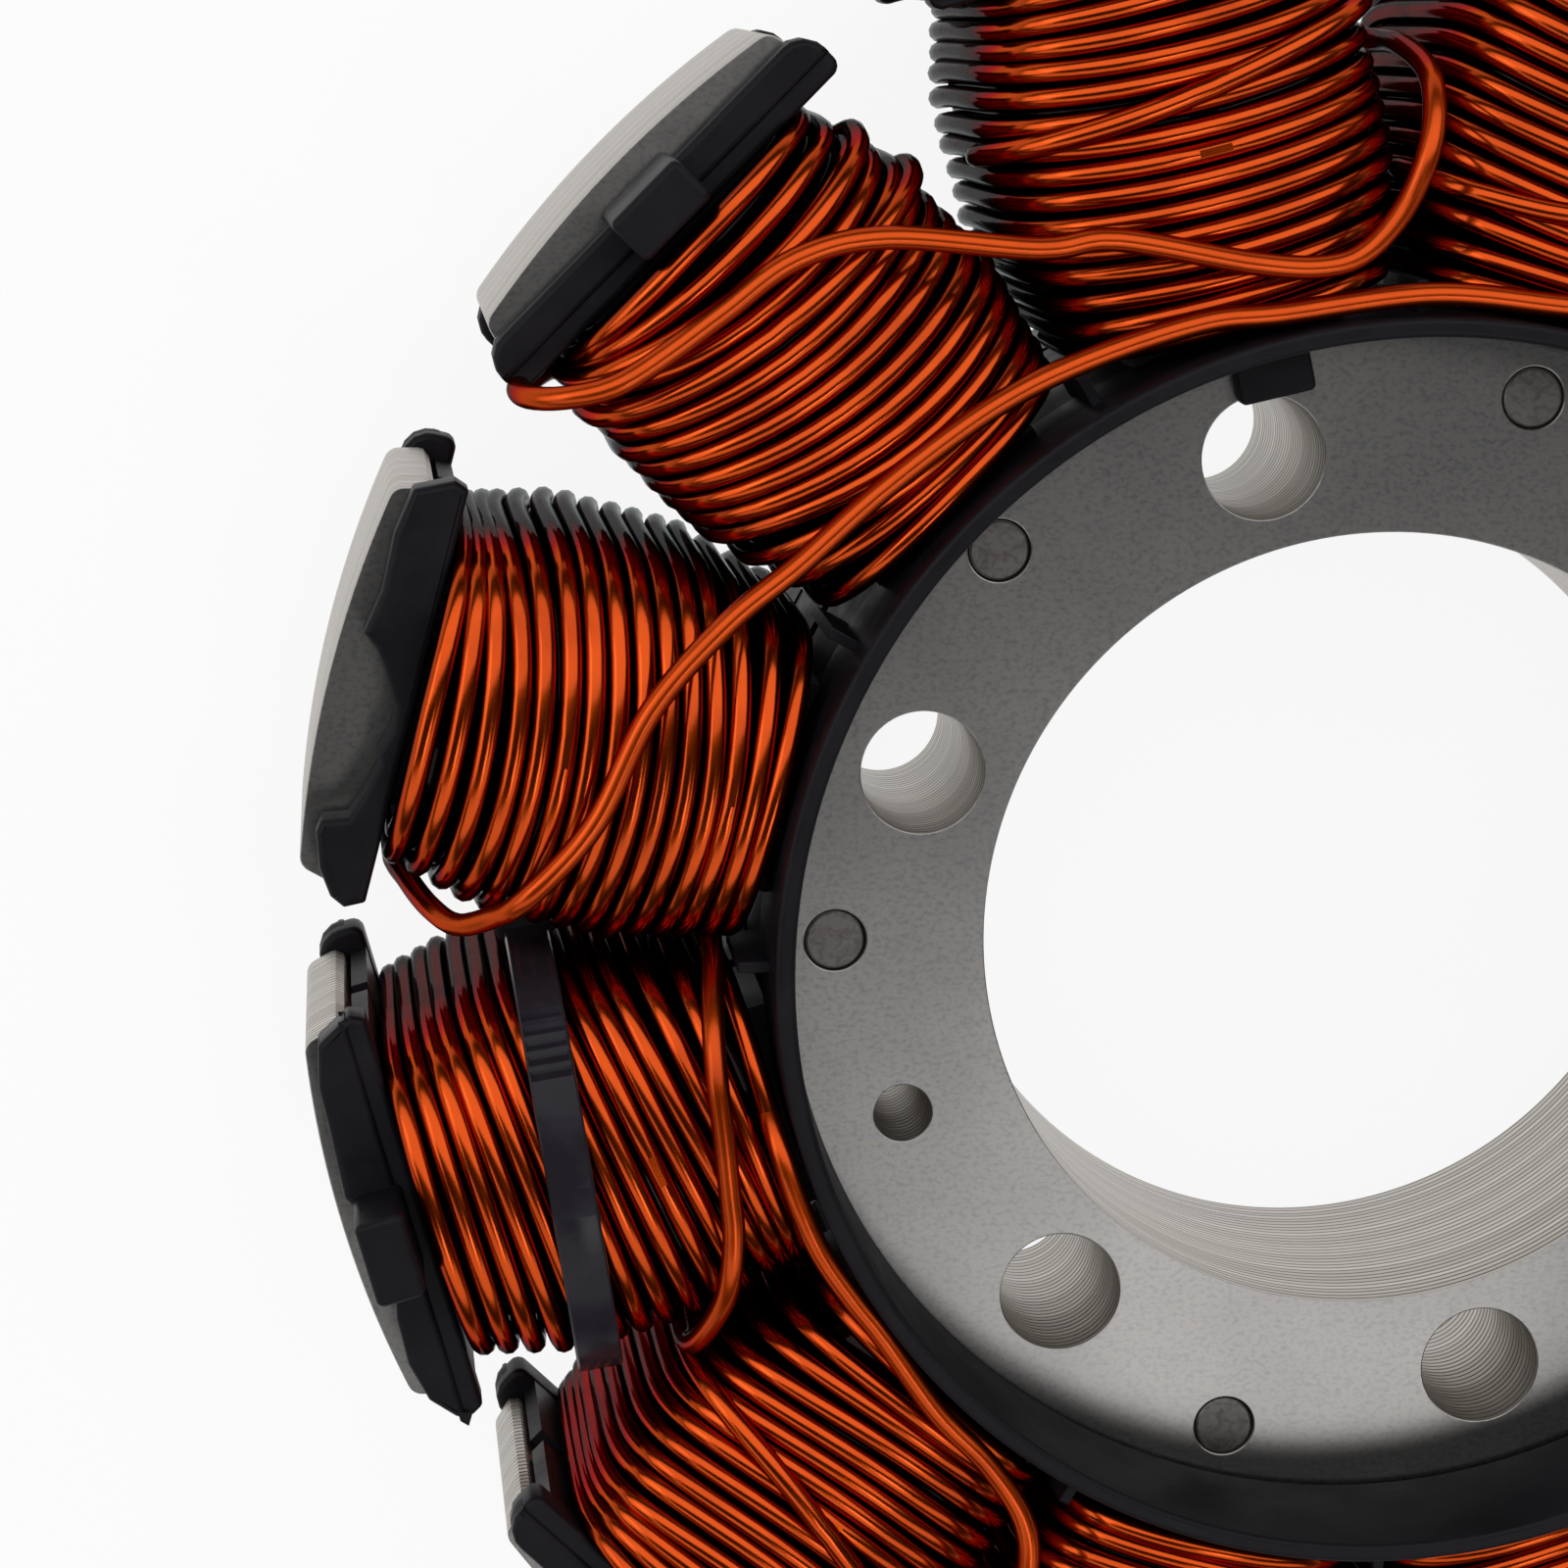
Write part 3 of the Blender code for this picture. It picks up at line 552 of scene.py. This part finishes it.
winding = dict(middle=15.8, start=33.4, end=52.4, wire=0.59, halfWidth=10.4, halfHeight=14.1,
               power=4.6, crown=2.2, coilGap=0.35, taper=1.6, taperLength=5.5,
               steps=66, bendWeight=1.2, sides=10, innerSides=7, outerTurns=15, innerTurns=16, layer=1.02,
               body=1.25, bodyFrom=0.5, bodyTo=0.3, bodySlices=14, unevenSize=14, seed=20, innerSeed=40,
               copper="#b9430e", copperDeep="#a4380a", edge="#1c0b08", roughness=0.2,
               # groove is the colour of painted shade in the grooves and under the outer turns, reached
               # between the two depths (mm) after it
               patchSize=5, rippleSize=0.8, grooveShade="#140a08", grooveShadeFrom=0.14, grooveShadeTo=0.55)

# A stray turn: its two ends round the winding (degrees), its points, how it wavers (mm, and points for each
# bend), and its rise over the others and its ends' depth (wire radii)
stray = dict(start=4, end=176, points=52, waver=0.15, waverPoints=9, rise=1.8, depth=1.5)

fineRound = np.linspace(0, 2 * math.pi, 4001)  # fine angles round the winding's section

# One line for each coil: its lean near the ring and near the flange (mm across the coil's half width), how
# far its turns bow to the ring (mm), its looseness, and its stray turns as (x at one side, x at the other)
coilHabits = (
    dict(lean=(0.8, 0.2), bow=1.0, loose=0.10, strays=((36.5, 39.5), (44.0, 42.6))),
    dict(lean=(-0.6, 0.4), bow=0.6, loose=0.11, strays=((40.0, 37.2), (47.0, 49.0))),
    dict(lean=(0.4, 1.0), bow=1.3, loose=0.08, strays=((38.0, 41.0),)),
    dict(lean=(0.2, 0.5), bow=0.8, loose=0.10, strays=((44.5, 47.5),)),
    dict(lean=(1.7, 1.2), bow=2.0, loose=0.13, strays=((48.9, 45.6), (50.8, 48.8))),
    dict(lean=(-1.0, -1.0), bow=1.5, loose=0.07, strays=()),
    dict(lean=(-2.4, 0.1), bow=0.2, loose=0.12, strays=()),
    dict(lean=(-1.5, -0.5), bow=1.0, loose=0.12, strays=((45.5, 41.5),)),
    dict(lean=(0.9, 0.3), bow=0.7, loose=0.10, strays=((37.5, 40.0),)),
    dict(lean=(-0.5, 0.2), bow=1.2, loose=0.12, strays=((42.0, 39.0), (49.5, 47.5))),
    dict(lean=(0.7, 0.9), bow=0.9, loose=0.09, strays=((45.0, 47.0),)),
    dict(lean=(0.3, -0.6), bow=1.4, loose=0.11, strays=((39.0, 42.0), (48.5, 46.5))))


def copperMaterial(name, roughness):
    # Enamelled copper magnet wire under baked varnish: red-orange metal glow in the lit bands, near black
    # between them.
    # The grooves between the wires and the turns under the outer ones are darkened with painted shade.
    material, tree, shader, coords = startMaterial(name, Metallic=1.0, Roughness=roughness,
                                                   Coat_Weight=0.12, Coat_Roughness=0.06, Coat_IOR=1.5,
                                                   Specular_Tint=toLinear(winding["edge"]))
    patch = addNode(tree, "ShaderNodeTexNoise", {"Scale": 1 / (winding["patchSize"] * mm), "Detail": 3.0},
                    {"Vector": coords})
    colour = setRamp(addNode(tree, "ShaderNodeValToRGB", links={"Fac": patch.outputs["Fac"]}),
                     ((0.3, winding["copperDeep"]), (0.5, winding["copper"])))
    # Painted shade: the deeper a point lies under the winding's outside, the nearer its colour goes to the
    # groove colour
    depth = addNode(tree, "ShaderNodeAttribute", {"attribute_name": "groove_shade_depth"})
    shaded = addNode(tree, "ShaderNodeMapRange",
                     {"interpolation_type": "SMOOTHSTEP", "From Min": winding["grooveShadeFrom"],
                      "From Max": winding["grooveShadeTo"]}, {"Value": depth.outputs["Fac"]})
    shadedColour = addNode(tree, "ShaderNodeMix", {"data_type": "RGBA", 7: toLinear(winding["grooveShade"])},
                      {"Factor": shaded.outputs["Result"], 6: colour.outputs["Color"]})
    tree.links.new(shadedColour.outputs[2], shader.inputs["Base Color"])
    ripple = addNode(tree, "ShaderNodeTexNoise", {"Scale": 1 / (winding["rippleSize"] * mm), "Detail": 2.0},
                     {"Vector": coords})
    bump = addNode(tree, "ShaderNodeBump", {"Strength": 0.1, "Distance": 0.04 * mm},
                   {"Height": ripple.outputs["Fac"]})
    tree.links.new(bump.outputs["Normal"], shader.inputs["Normal"])
    return material


def coilHalfWidth(x):
    nearFlange = np.clip((x - winding["end"] + winding["taperLength"]) / winding["taperLength"], 0, 1)
    room = x * math.tan(slotMiddle) - winding["coilGap"]
    return np.minimum(winding["halfWidth"] - winding["taper"] * nearFlange, room)


def roundShares():
    # Angles round the section, closer together where it bends
    y, z = sectionPoint(fineRound, winding["halfWidth"], winding["halfHeight"])
    step = np.hypot(np.diff(y), np.diff(z))
    heading = np.unwrap(np.arctan2(np.diff(z), np.diff(y)))
    bend = np.abs(np.diff(heading, prepend=heading[0]))
    share = step / step.sum() + winding["bendWeight"] * bend / bend.sum()
    cost = np.concatenate(([0], np.cumsum(share)))
    return np.interp(np.linspace(0, cost[-1], winding["steps"] + 1), cost, fineRound)[:-1]


def sectionRun(phi):
    # How far along the section each angle lies, as a share of the whole run
    y, z = sectionPoint(phi, winding["halfWidth"], winding["halfHeight"])
    run = np.concatenate(([0], np.cumsum(np.hypot(np.diff(y), np.diff(z)))))
    return run / run[-1]


def sectionPoint(phi, halfWidth, halfHeight):
    # A boxy round whose two ends are crowned, as turns pulled over a form are
    c, s, share = np.cos(phi), np.sin(phi), 2 / winding["power"]
    y, z = np.sign(c) * np.abs(c) ** share, np.sign(s) * np.abs(s) ** share
    return y * halfWidth, z * halfHeight * (1 - winding["crown"] / winding["halfHeight"] * y ** 2 * z ** 4)


def smoothNoise(random, count, perKnot):
    # A smooth random line of values between -1 and 1
    knots = random.uniform(-1, 1, count // perKnot + 3)
    at = np.arange(count) / perKnot
    share = at - np.floor(at)
    share = share * share * (3 - 2 * share)
    index = np.floor(at).astype(int)
    return knots[index] * (1 - share) + knots[index + 1] * share


def layerPath(habit, random, turns, inset, phis):
    # One layer of the winding as one line, in the pole's axes
    count, perKnot = turns * len(phis), len(phis) // 3
    phi = np.tile(phis, turns)
    inTurn = np.tile(sectionRun(np.append(phis, 2 * math.pi))[:-1], turns)
    turn = np.repeat(np.arange(turns), len(phis)) + inTurn
    share = np.clip((turn - 0.25) / (turns - 1), 0, 1)
    wire = winding["wire"]
    x = winding["start"] + wire + share * (winding["end"] - winding["start"] - 2 * wire)
    lean = habit["lean"][0] * (1 - share) + habit["lean"][1] * share
    envelope = np.clip(np.minimum(share, 1 - share) * 5, 0, 1)  # the first and last turns stay straight
    side, top = sectionPoint(phi, 1, 1)
    front = 0.6 + 0.4 * np.clip(top * 2 + 1.6, -1, 1)  # turns lie straighter on the back
    x = x + (lean * side + habit["bow"] * (side ** 2 - 0.4)) * envelope * front
    x = x + habit["loose"] * smoothNoise(random, count, perKnot) * (1 if inset == 0 else 0.4)
    x = np.clip(x, winding["start"] + wire * 0.6, winding["end"] - wire * 0.6)
    lift = 0.5 * habit["loose"] * smoothNoise(random, count, perKnot) - inset
    y, z = sectionPoint(phi, coilHalfWidth(x) + lift - wire, winding["halfHeight"] + lift - wire)
    return np.column_stack((x, y, z))


def strayPath(habit, random, ends):
    # A turn that lies on top of the others, dipping between them at both sides
    fine = np.linspace(math.radians(stray["start"]), math.radians(stray["end"]), 1501)
    share = np.linspace(0, 1, stray["points"])
    phi = np.interp(share, sectionRun(fine), fine)
    waver = stray["waver"] * smoothNoise(random, len(phi), stray["waverPoints"])
    x = ends[0] + (ends[1] - ends[0]) * (0.5 - 0.5 * np.cos(math.pi * share)) + waver
    x = x + habit["bow"] * (0.4 - np.sin(math.pi * share) ** 2)
    over = np.clip(np.sin(math.pi * share) * 5, 0, 1)
    lift = winding["wire"] * (stray["rise"] * over - stray["depth"])
    y, z = sectionPoint(phi, coilHalfWidth(x) + lift, winding["halfHeight"] + lift - 0.1)
    return np.column_stack((x, y, z))


def bodyMesh(inset):
    # The heart of the winding, under its wires, dark from painted shade since it lies deep under the outside
    phis = roundShares()[::2]
    xs = np.linspace(winding["start"] + winding["bodyFrom"], winding["end"] - winding["bodyTo"],
                     winding["bodySlices"])
    points, count = [], len(phis)
    for x in xs:
        y, z = sectionPoint(phis, coilHalfWidth(x) - inset, winding["halfHeight"] - inset)
        points += list(zip([x] * count, y, z))
    faces = ringFaces(len(xs), count, closed=False)
    faces += [tuple(reversed(range(count))), tuple(range((len(xs) - 1) * count, len(xs) * count))]
    return meshOf("winding_body", points, faces)


def polyCurve(paths):
    curve = bpy.data.curves.new("wire_path", "CURVE")
    curve.dimensions = "3D"
    for path in paths:
        spline = curve.splines.new("POLY")
        spline.points.add(len(path) - 1)
        rows = np.column_stack((np.asarray(path) * mm, np.ones(len(path))))
        spline.points.foreach_set("co", rows.ravel())
    return curve


def wireTree():
    tree, given = startTree("wire_on_path", (("Wire Radius", "Float"), ("Sides", "Int"),
                                             ("Unevenness", "Float"), ("Seed", "Int"),
                                             ("Material", "Material")))
    noise = addNode(tree, "ShaderNodeTexNoise",
                    {"noise_dimensions": "4D", "Scale": 1 / (winding["unevenSize"] * mm), "Detail": 0.0},
                    {"W": given["Seed"]})
    centred = addNode(tree, "ShaderNodeVectorMath", {"operation": "SUBTRACT", 1: (0.5, 0.5, 0.5)},
                      {0: noise.outputs["Color"]})
    offset = addNode(tree, "ShaderNodeVectorMath", {"operation": "SCALE"},
                     {0: centred.outputs[0], "Scale": given["Unevenness"]})
    moved = addNode(tree, "GeometryNodeSetPosition",
                    links={"Geometry": given["Geometry"], "Offset": offset.outputs[0]})
    profile = addNode(tree, "GeometryNodeCurvePrimitiveCircle", {"mode": "RADIUS"},
                      {"Resolution": given["Sides"], "Radius": given["Wire Radius"]})
    tube = addNode(tree, "GeometryNodeCurveToMesh", {"Fill Caps": True},
                   {"Curve": moved.outputs[0], "Profile Curve": profile.outputs[0]})
    smooth = addNode(tree, "GeometryNodeSetShadeSmooth", links={"Geometry": tube.outputs[0]})
    endTree(tree, smooth.outputs[0], given["Material"])
    return tree


wireGrower = wireTree()
copper = copperMaterial("enamelled_copper_wire", winding["roughness"])


def wireMesh(paths, material, sides, seed, unevenness=0.1, radius=winding["wire"]):
    return grown(polyCurve(paths), wireGrower,
                 {"Wire Radius": radius * mm, "Sides": sides, "Unevenness": unevenness * mm, "Seed": seed,
                  "Material": material})


def placed(mesh, angle):
    up = Matrix.Translation((0, 0, winding["middle"] * mm))
    mesh.transform(up @ Matrix.Rotation(math.radians(angle), 4, "Z"))
    return mesh


def markGrooveShade(mesh):
    # How far each point lies under the winding's outside, in mm, for the painted shade that darkens the
    # grooves and the turns beneath
    count, power = len(mesh.vertices), winding["power"]
    place = np.empty(count * 3)
    mesh.vertices.foreach_get("co", place)
    place = place.reshape(-1, 3) / mm
    spread = winding["halfWidth"] / coilHalfWidth(place[:, 0])
    outline = np.column_stack(sectionPoint(roundShares(), winding["halfWidth"], winding["halfHeight"]))
    along = np.roll(outline, -1, axis=0) - outline
    depth = np.full(count, np.inf)
    point = np.column_stack((place[:, 1] * spread, place[:, 2]))
    for start, run in zip(outline, along):
        share = np.clip((point - start) @ run / (run @ run), 0, 1)
        depth = np.minimum(depth, np.hypot(*(point - start - share[:, None] * run).T))
    across, up = np.abs(point[:, 0]) / winding["halfWidth"], np.abs(point[:, 1]) / winding["halfHeight"]
    crowned = np.clip(across, 0, 1) ** 2 * np.clip(up, 0, 1) ** 4
    up = up / (1 - winding["crown"] / winding["halfHeight"] * crowned)
    depth[across ** power + up ** power > 1] = 0  # outside the outline
    shadeDepths = mesh.attributes.new("groove_shade_depth", "FLOAT", "POINT")
    shadeDepths.data.foreach_set("value", depth.astype(np.float32))
    return mesh


def buildCoil(index, angle):
    habit, phis = coilHabits[index], roundShares()
    random = np.random.default_rng(winding["seed"] + index)
    outer = [layerPath(habit, random, winding["outerTurns"], 0, phis)]
    outer += [strayPath(habit, random, ends) for ends in habit["strays"]]
    inner = [layerPath(habit, random, winding["innerTurns"], winding["layer"], phis)]
    meshes = [wireMesh(outer, copper, winding["sides"], index),
              wireMesh(inner, copper, winding["innerSides"], winding["innerSeed"] + index),
              bodyMesh(winding["layer"] + winding["body"])]
    addPiece(f"winding_{index + 1:02d}", placed(markGrooveShade(joined(meshes)), angle), [copper],
             [f"coil_{index + 1:02d}"], smoothAngle=60)


for index, angle in enumerate(poleAngles()):
    buildCoil(index, angle)
print("coils made")


# Crossover wires, by points along each in mm, on the front of the coils

crossover = dict(roughness=0.3, radius=0.6, sides=16, stepLength=0.6, unevenness=0.05, seed=70)
crossoverRoutes = (
    ((-40.9, 30.7, 14.8), (-42.9, 29.6, 17.0), (-43.6, 29.7, 20.0), (-44.5, 29.7, 24.0), (-45.3, 29.5, 26.6),
     (-44.9, 29.3, 28.7), (-43.2, 29.4, 30.1), (-40.8, 30.0, 30.8), (-38.3, 31.5, 30.8), (-35.4, 33.6, 30.8),
     (-31.9, 36.1, 30.8), (-27.5, 37.1, 30.8), (-19.9, 36.5, 30.8), (-16.1, 36.9, 30.8), (-9.2, 35.7, 30.8),
     (-5.6, 35.5, 30.8), (-3.4, 36.3, 30.8), (-1.5, 38.6, 30.8), (-0.4, 41.7, 30.8), (0.0, 44.6, 28.8),
     (0.0, 46.0, 23.5), (0.0, 46.2, 18.0), (-1.6, 46.2, 14.6)),
    ((-50.6, 5.9, 14.8), (-51.9, 3.9, 17.0), (-51.2, 3.5, 22.2), (-50.1, 2.8, 25.7), (-48.8, 2.3, 27.3),
     (-47.0, 3.1, 28.9), (-45.4, 4.4, 30.5), (-42.0, 8.2, 30.8), (-39.1, 13.9, 30.8), (-35.3, 18.2, 30.8),
     (-31.7, 21.1, 30.8), (-27.5, 24.8, 30.8), (-22.2, 28.7, 30.8), (-17.5, 31.0, 30.8), (-11.7, 32.8, 30.8),
     (-7.7, 33.2, 30.8), (0.0, 34.1, 30.8), (7.1, 33.4, 30.8), (11.5, 33.3, 30.8), (15.5, 34.0, 30.8),
     (18.9, 35.5, 30.8), (21.1, 37.2, 30.8), (22.5, 38.9, 28.8), (23.2, 40.2, 23.5), (23.3, 40.3, 18.0),
     (21.9, 41.1, 14.6)),
    ((-35.6, 0.5, 24.2), (-35.7, -0.4, 26.6), (-35.9, -1.7, 28.4), (-36.0, -3.4, 29.8), (-35.9, -5.5, 30.6),
     (-35.6, -8.2, 30.8), (-35.3, -11.3, 30.8), (-35.1, -13.4, 30.8), (-35.2, -15.6, 30.6),
     (-35.5, -17.5, 29.8), (-36.2, -19.5, 28.3), (-36.8, -20.8, 26.8), (-37.1, -21.4, 24.6),
     (-37.1, -21.4, 20.0), (-37.1, -21.4, 17.6), (-36.3, -22.8, 14.6)),
    ((-33.9, -5.0, 25.0), (-33.5, -6.3, 27.4), (-33.1, -7.7, 29.3), (-32.6, -9.5, 30.5), (-31.8, -12.0, 30.8),
     (-30.6, -14.8, 30.8), (-28.9, -17.4, 30.8), (-27.4, -19.4, 30.8), (-24.5, -23.7, 30.8),
     (-21.7, -26.8, 30.8), (-19.8, -30.0, 30.8), (-19.6, -33.1, 30.8), (-20.9, -36.1, 30.8),
     (-22.1, -38.3, 28.8), (-22.8, -39.6, 23.5), (-22.9, -39.7, 18.0), (-21.5, -40.5, 14.6)))


def smoothPath(points):
    # Evenly spaced points of a smooth curve through the route
    points = [Vector(p) for p in points]
    ends = [2 * points[0] - points[1]] + points + [2 * points[-1] - points[-2]]
    path = []
    for a, b, c, d in zip(ends, ends[1:], ends[2:], ends[3:]):
        steps = max(1, round((c - b).length / crossover["stepLength"]))
        for t in np.arange(steps) / steps:
            path.append(tuple(0.5 * (2 * b + (c - a) * t + (2 * a - 5 * b + 4 * c - d) * t ** 2
                                     + (3 * b - a - 3 * c + d) * t ** 3)))
    return path + [tuple(points[-1])]


linkCopper = copperMaterial("enamelled_copper_link", crossover["roughness"])
for number, route in enumerate(crossoverRoutes, 1):
    mesh = wireMesh([smoothPath(route)], linkCopper, crossover["sides"], crossover["seed"] + number,
                    crossover["unevenness"], crossover["radius"])
    addPiece(f"link_wire_{number:02d}", mesh, [linkCopper], [f"crossover_wire_{number:02d}"],
             smoothAngle=60)
print("crossover wires made")


# Cable tie

tie = dict(pole=195, distance=44.8, slant=-6.5, width=2.4, thickness=0.9, clearance=0.2, edge=0.22,
           steps=360, teethFrom=0.318, teethTo=0.362, toothSteps=3, toothDepth=0.22, toothHalf=1.05,
           headHeight=4.4, headDepth=2.0, headWidth=3.2, headCorner=0.35, headEdge=0.3,
           black="#232126", worn="#2c2a30", roughness=0.18, grainSize=0.6)


def strapMesh(inner):
    # A closed strap with rounded edges round the winding, its teeth showing on one shoulder
    run = np.linspace(0, 1, tie["steps"] + 1)[:-1]
    phi = np.interp(run, sectionRun(fineRound), fineRound)
    order = np.column_stack(sectionPoint(phi, *inner))
    tangent = np.roll(order, -1, axis=0) - np.roll(order, 1, axis=0)
    tangent /= np.linalg.norm(tangent, axis=1)[:, None]
    outward = np.column_stack((tangent[:, 1], -tangent[:, 0]))
    toothed = (run > tie["teethFrom"]) & (run < tie["teethTo"])
    toothed &= np.arange(len(run)) % tie["toothSteps"] == 0
    thick, half = tie["thickness"], tie["width"] / 2
    profile = roundedLoop([(0, -half), (thick, -half), (thick, half), (0, half)], tie["edge"], 3)
    points = []
    for (y, z), (outY, outZ), tooth in zip(order, outward, toothed):
        for out, across in profile:
            notched = tooth and out > thick / 2 and abs(across) < tie["toothHalf"]
            lift = out - (tie["toothDepth"] if notched else 0)
            points.append((across, y + outY * lift, z + outZ * lift))
    return meshOf("strap", points, ringFaces(len(run), len(profile)))


def buildTie():
    # The strap round its winding, with its head in the slot
    inner = winding["halfWidth"] + tie["clearance"], winding["halfHeight"] + tie["clearance"]
    outline = rectangle(-tie["headWidth"] / 2, tie["headWidth"] / 2, tie["headDepth"] / 2)
    head = plate([roundedLoop(outline, tie["headCorner"], 3)], -tie["headHeight"] / 2, tie["headHeight"] / 2,
                 tie["headEdge"], 2)
    beside = -(inner[0] + tie["thickness"] / 4 + tie["headDepth"] / 2)
    head.transform(Matrix.Translation((0, beside * mm, 0)))
    mesh = joined([strapMesh(inner), head])
    x, y = turned([(tie["distance"], 0)], tie["pole"])[0]
    mesh.transform(Matrix.Translation((x * mm, y * mm, winding["middle"] * mm))
                   @ Matrix.Rotation(math.radians(tie["pole"] + tie["slant"]), 4, "Z"))
    plastic = nylonMaterial("cable_tie_nylon", tie["black"], tie["worn"], tie["roughness"], tie["grainSize"])
    addPiece("tie_strap", mesh, [plastic], ["cable_tie"], smoothAngle=30)


buildTie()
print("cable tie made")


# Studio

# Aim and box distance are in metres, the walls' heights are the Z of a direction, 0 at the horizon
studio = dict(floor="#e9e9ea", floorHalf=4000, whiteShare=0.9, world="#6a6a6c", worldStrength=0.2,
              wallTop=0.13, wallFade=0.1, aim=(-0.025, 0.0, 0.02), boxDistance=0.8)

# Soft boxes: direction from the object, size in metres and power in watts
softBoxes = (("ring_box", (0.23, -0.375, 0.898), (0.22, 0.16), 0.42),
             ("low_box", (0.0, -0.655, 0.756), (2.2, 0.38), 3.15),
             ("high_box", (0.0, 0.515, 0.857), (2.2, 0.75), 8.3),
             ("left_box", (-0.85, 0.1, 0.5), (0.5, 0.4), 1.1))

# Places in metres, lens and sensor in millimetres
view = dict(place=(-0.05392, 0.05090, 0.2178), aim=(-0.03170, 0.00846, 0.0238), lens=88.37, sensor=36,
            near=0.01, far=50)


def backgroundRays(tree):
    # 1 for the rays that show the background: the camera's own, those of reflections and those through glass
    path = addNode(tree, "ShaderNodeLightPath")
    seen = addNode(tree, "ShaderNodeMath", {"operation": "ADD"},
                   {0: path.outputs["Is Camera Ray"], 1: path.outputs["Is Glossy Ray"]})
    both = addNode(tree, "ShaderNodeMath", {"operation": "ADD", "use_clamp": True},
                   {0: seen.outputs[0], 1: path.outputs["Is Transmission Ray"]})
    return both.outputs[0]


def buildFloor():
    half = studio["floorHalf"]
    points = [(x, y, 0) for x, y in rectangle(-half, half, half)]
    floor = bpy.data.objects.new("floor", meshOf("floor", points, [(0, 1, 2, 3)]))
    scene.collection.objects.link(floor)
    # Matt white table: white to the camera and in reflections, with the part's shadow kept
    material, tree, shader, _ = startMaterial("matt_white_table", Roughness=0.9,
                                              Base_Color=toLinear(studio["floor"]))
    share = addNode(tree, "ShaderNodeMath", {"operation": "MULTIPLY", 1: studio["whiteShare"]},
                    {0: backgroundRays(tree)})
    glow = addNode(tree, "ShaderNodeEmission", {"Strength": 1.0})
    mix = addNode(tree, "ShaderNodeMixShader",
                  links={0: share.outputs[0], 1: shader.outputs[0], 2: glow.outputs[0]})
    tree.links.new(mix.outputs[0], tree.nodes["Material Output"].inputs["Surface"])
    floor.data.materials.append(material)


def buildLights():
    for name, direction, size, power in softBoxes:
        light = bpy.data.lights.new(name, "AREA")
        light.shape = "RECTANGLE"
        light.size, light.size_y = size
        light.energy = power
        lamp = bpy.data.objects.new(name, light)
        away = Vector(direction).normalized()
        lamp.location = Vector(studio["aim"]) + away * studio["boxDistance"]
        lamp.rotation_euler = (-away).to_track_quat("-Z", "Y").to_euler()
        scene.collection.objects.link(lamp)


def buildWorld():
    # Low pale walls, as seen by the camera and in reflections, under a dim ceiling
    world = bpy.data.worlds.new("studio")
    world.use_nodes = True
    tree = world.node_tree
    dim = tree.nodes["Background"]
    dim.inputs["Color"].default_value = toLinear(studio["world"])
    dim.inputs["Strength"].default_value = studio["worldStrength"]
    walls = addNode(tree, "ShaderNodeBackground", {"Strength": 1.0})
    coords = addNode(tree, "ShaderNodeTexCoord")
    toward = addNode(tree, "ShaderNodeSeparateXYZ", links={"Vector": coords.outputs["Generated"]})
    height = addNode(tree, "ShaderNodeMapRange", {"From Min": studio["wallTop"] + studio["wallFade"],
                                                  "From Max": studio["wallTop"]},
                     {"Value": toward.outputs["Z"]})
    share = addNode(tree, "ShaderNodeMath", {"operation": "MULTIPLY"},
                    {0: backgroundRays(tree), 1: height.outputs["Result"]})
    mix = addNode(tree, "ShaderNodeMixShader",
                  links={0: share.outputs[0], 1: dim.outputs[0], 2: walls.outputs[0]})
    tree.links.new(mix.outputs[0], tree.nodes["World Output"].inputs["Surface"])
    scene.world = world


def buildCamera():
    place = Vector(view["place"])
    forward = (Vector(view["aim"]) - place).normalized()
    right = forward.cross(Vector((0, 1, 0))).normalized()
    up = right.cross(forward)
    data = bpy.data.cameras.new("camera")
    data.lens, data.sensor_width = view["lens"], view["sensor"]
    data.clip_start, data.clip_end = view["near"], view["far"]
    camera = bpy.data.objects.new("camera", data)
    rows = Matrix((right, up, -forward)).transposed().to_4x4()
    camera.matrix_world = Matrix.Translation(place) @ rows
    scene.collection.objects.link(camera)
    scene.camera = camera


buildFloor()
buildLights()
buildWorld()
buildCamera()
scene.view_settings.view_transform = "Standard"

print("scene ready")
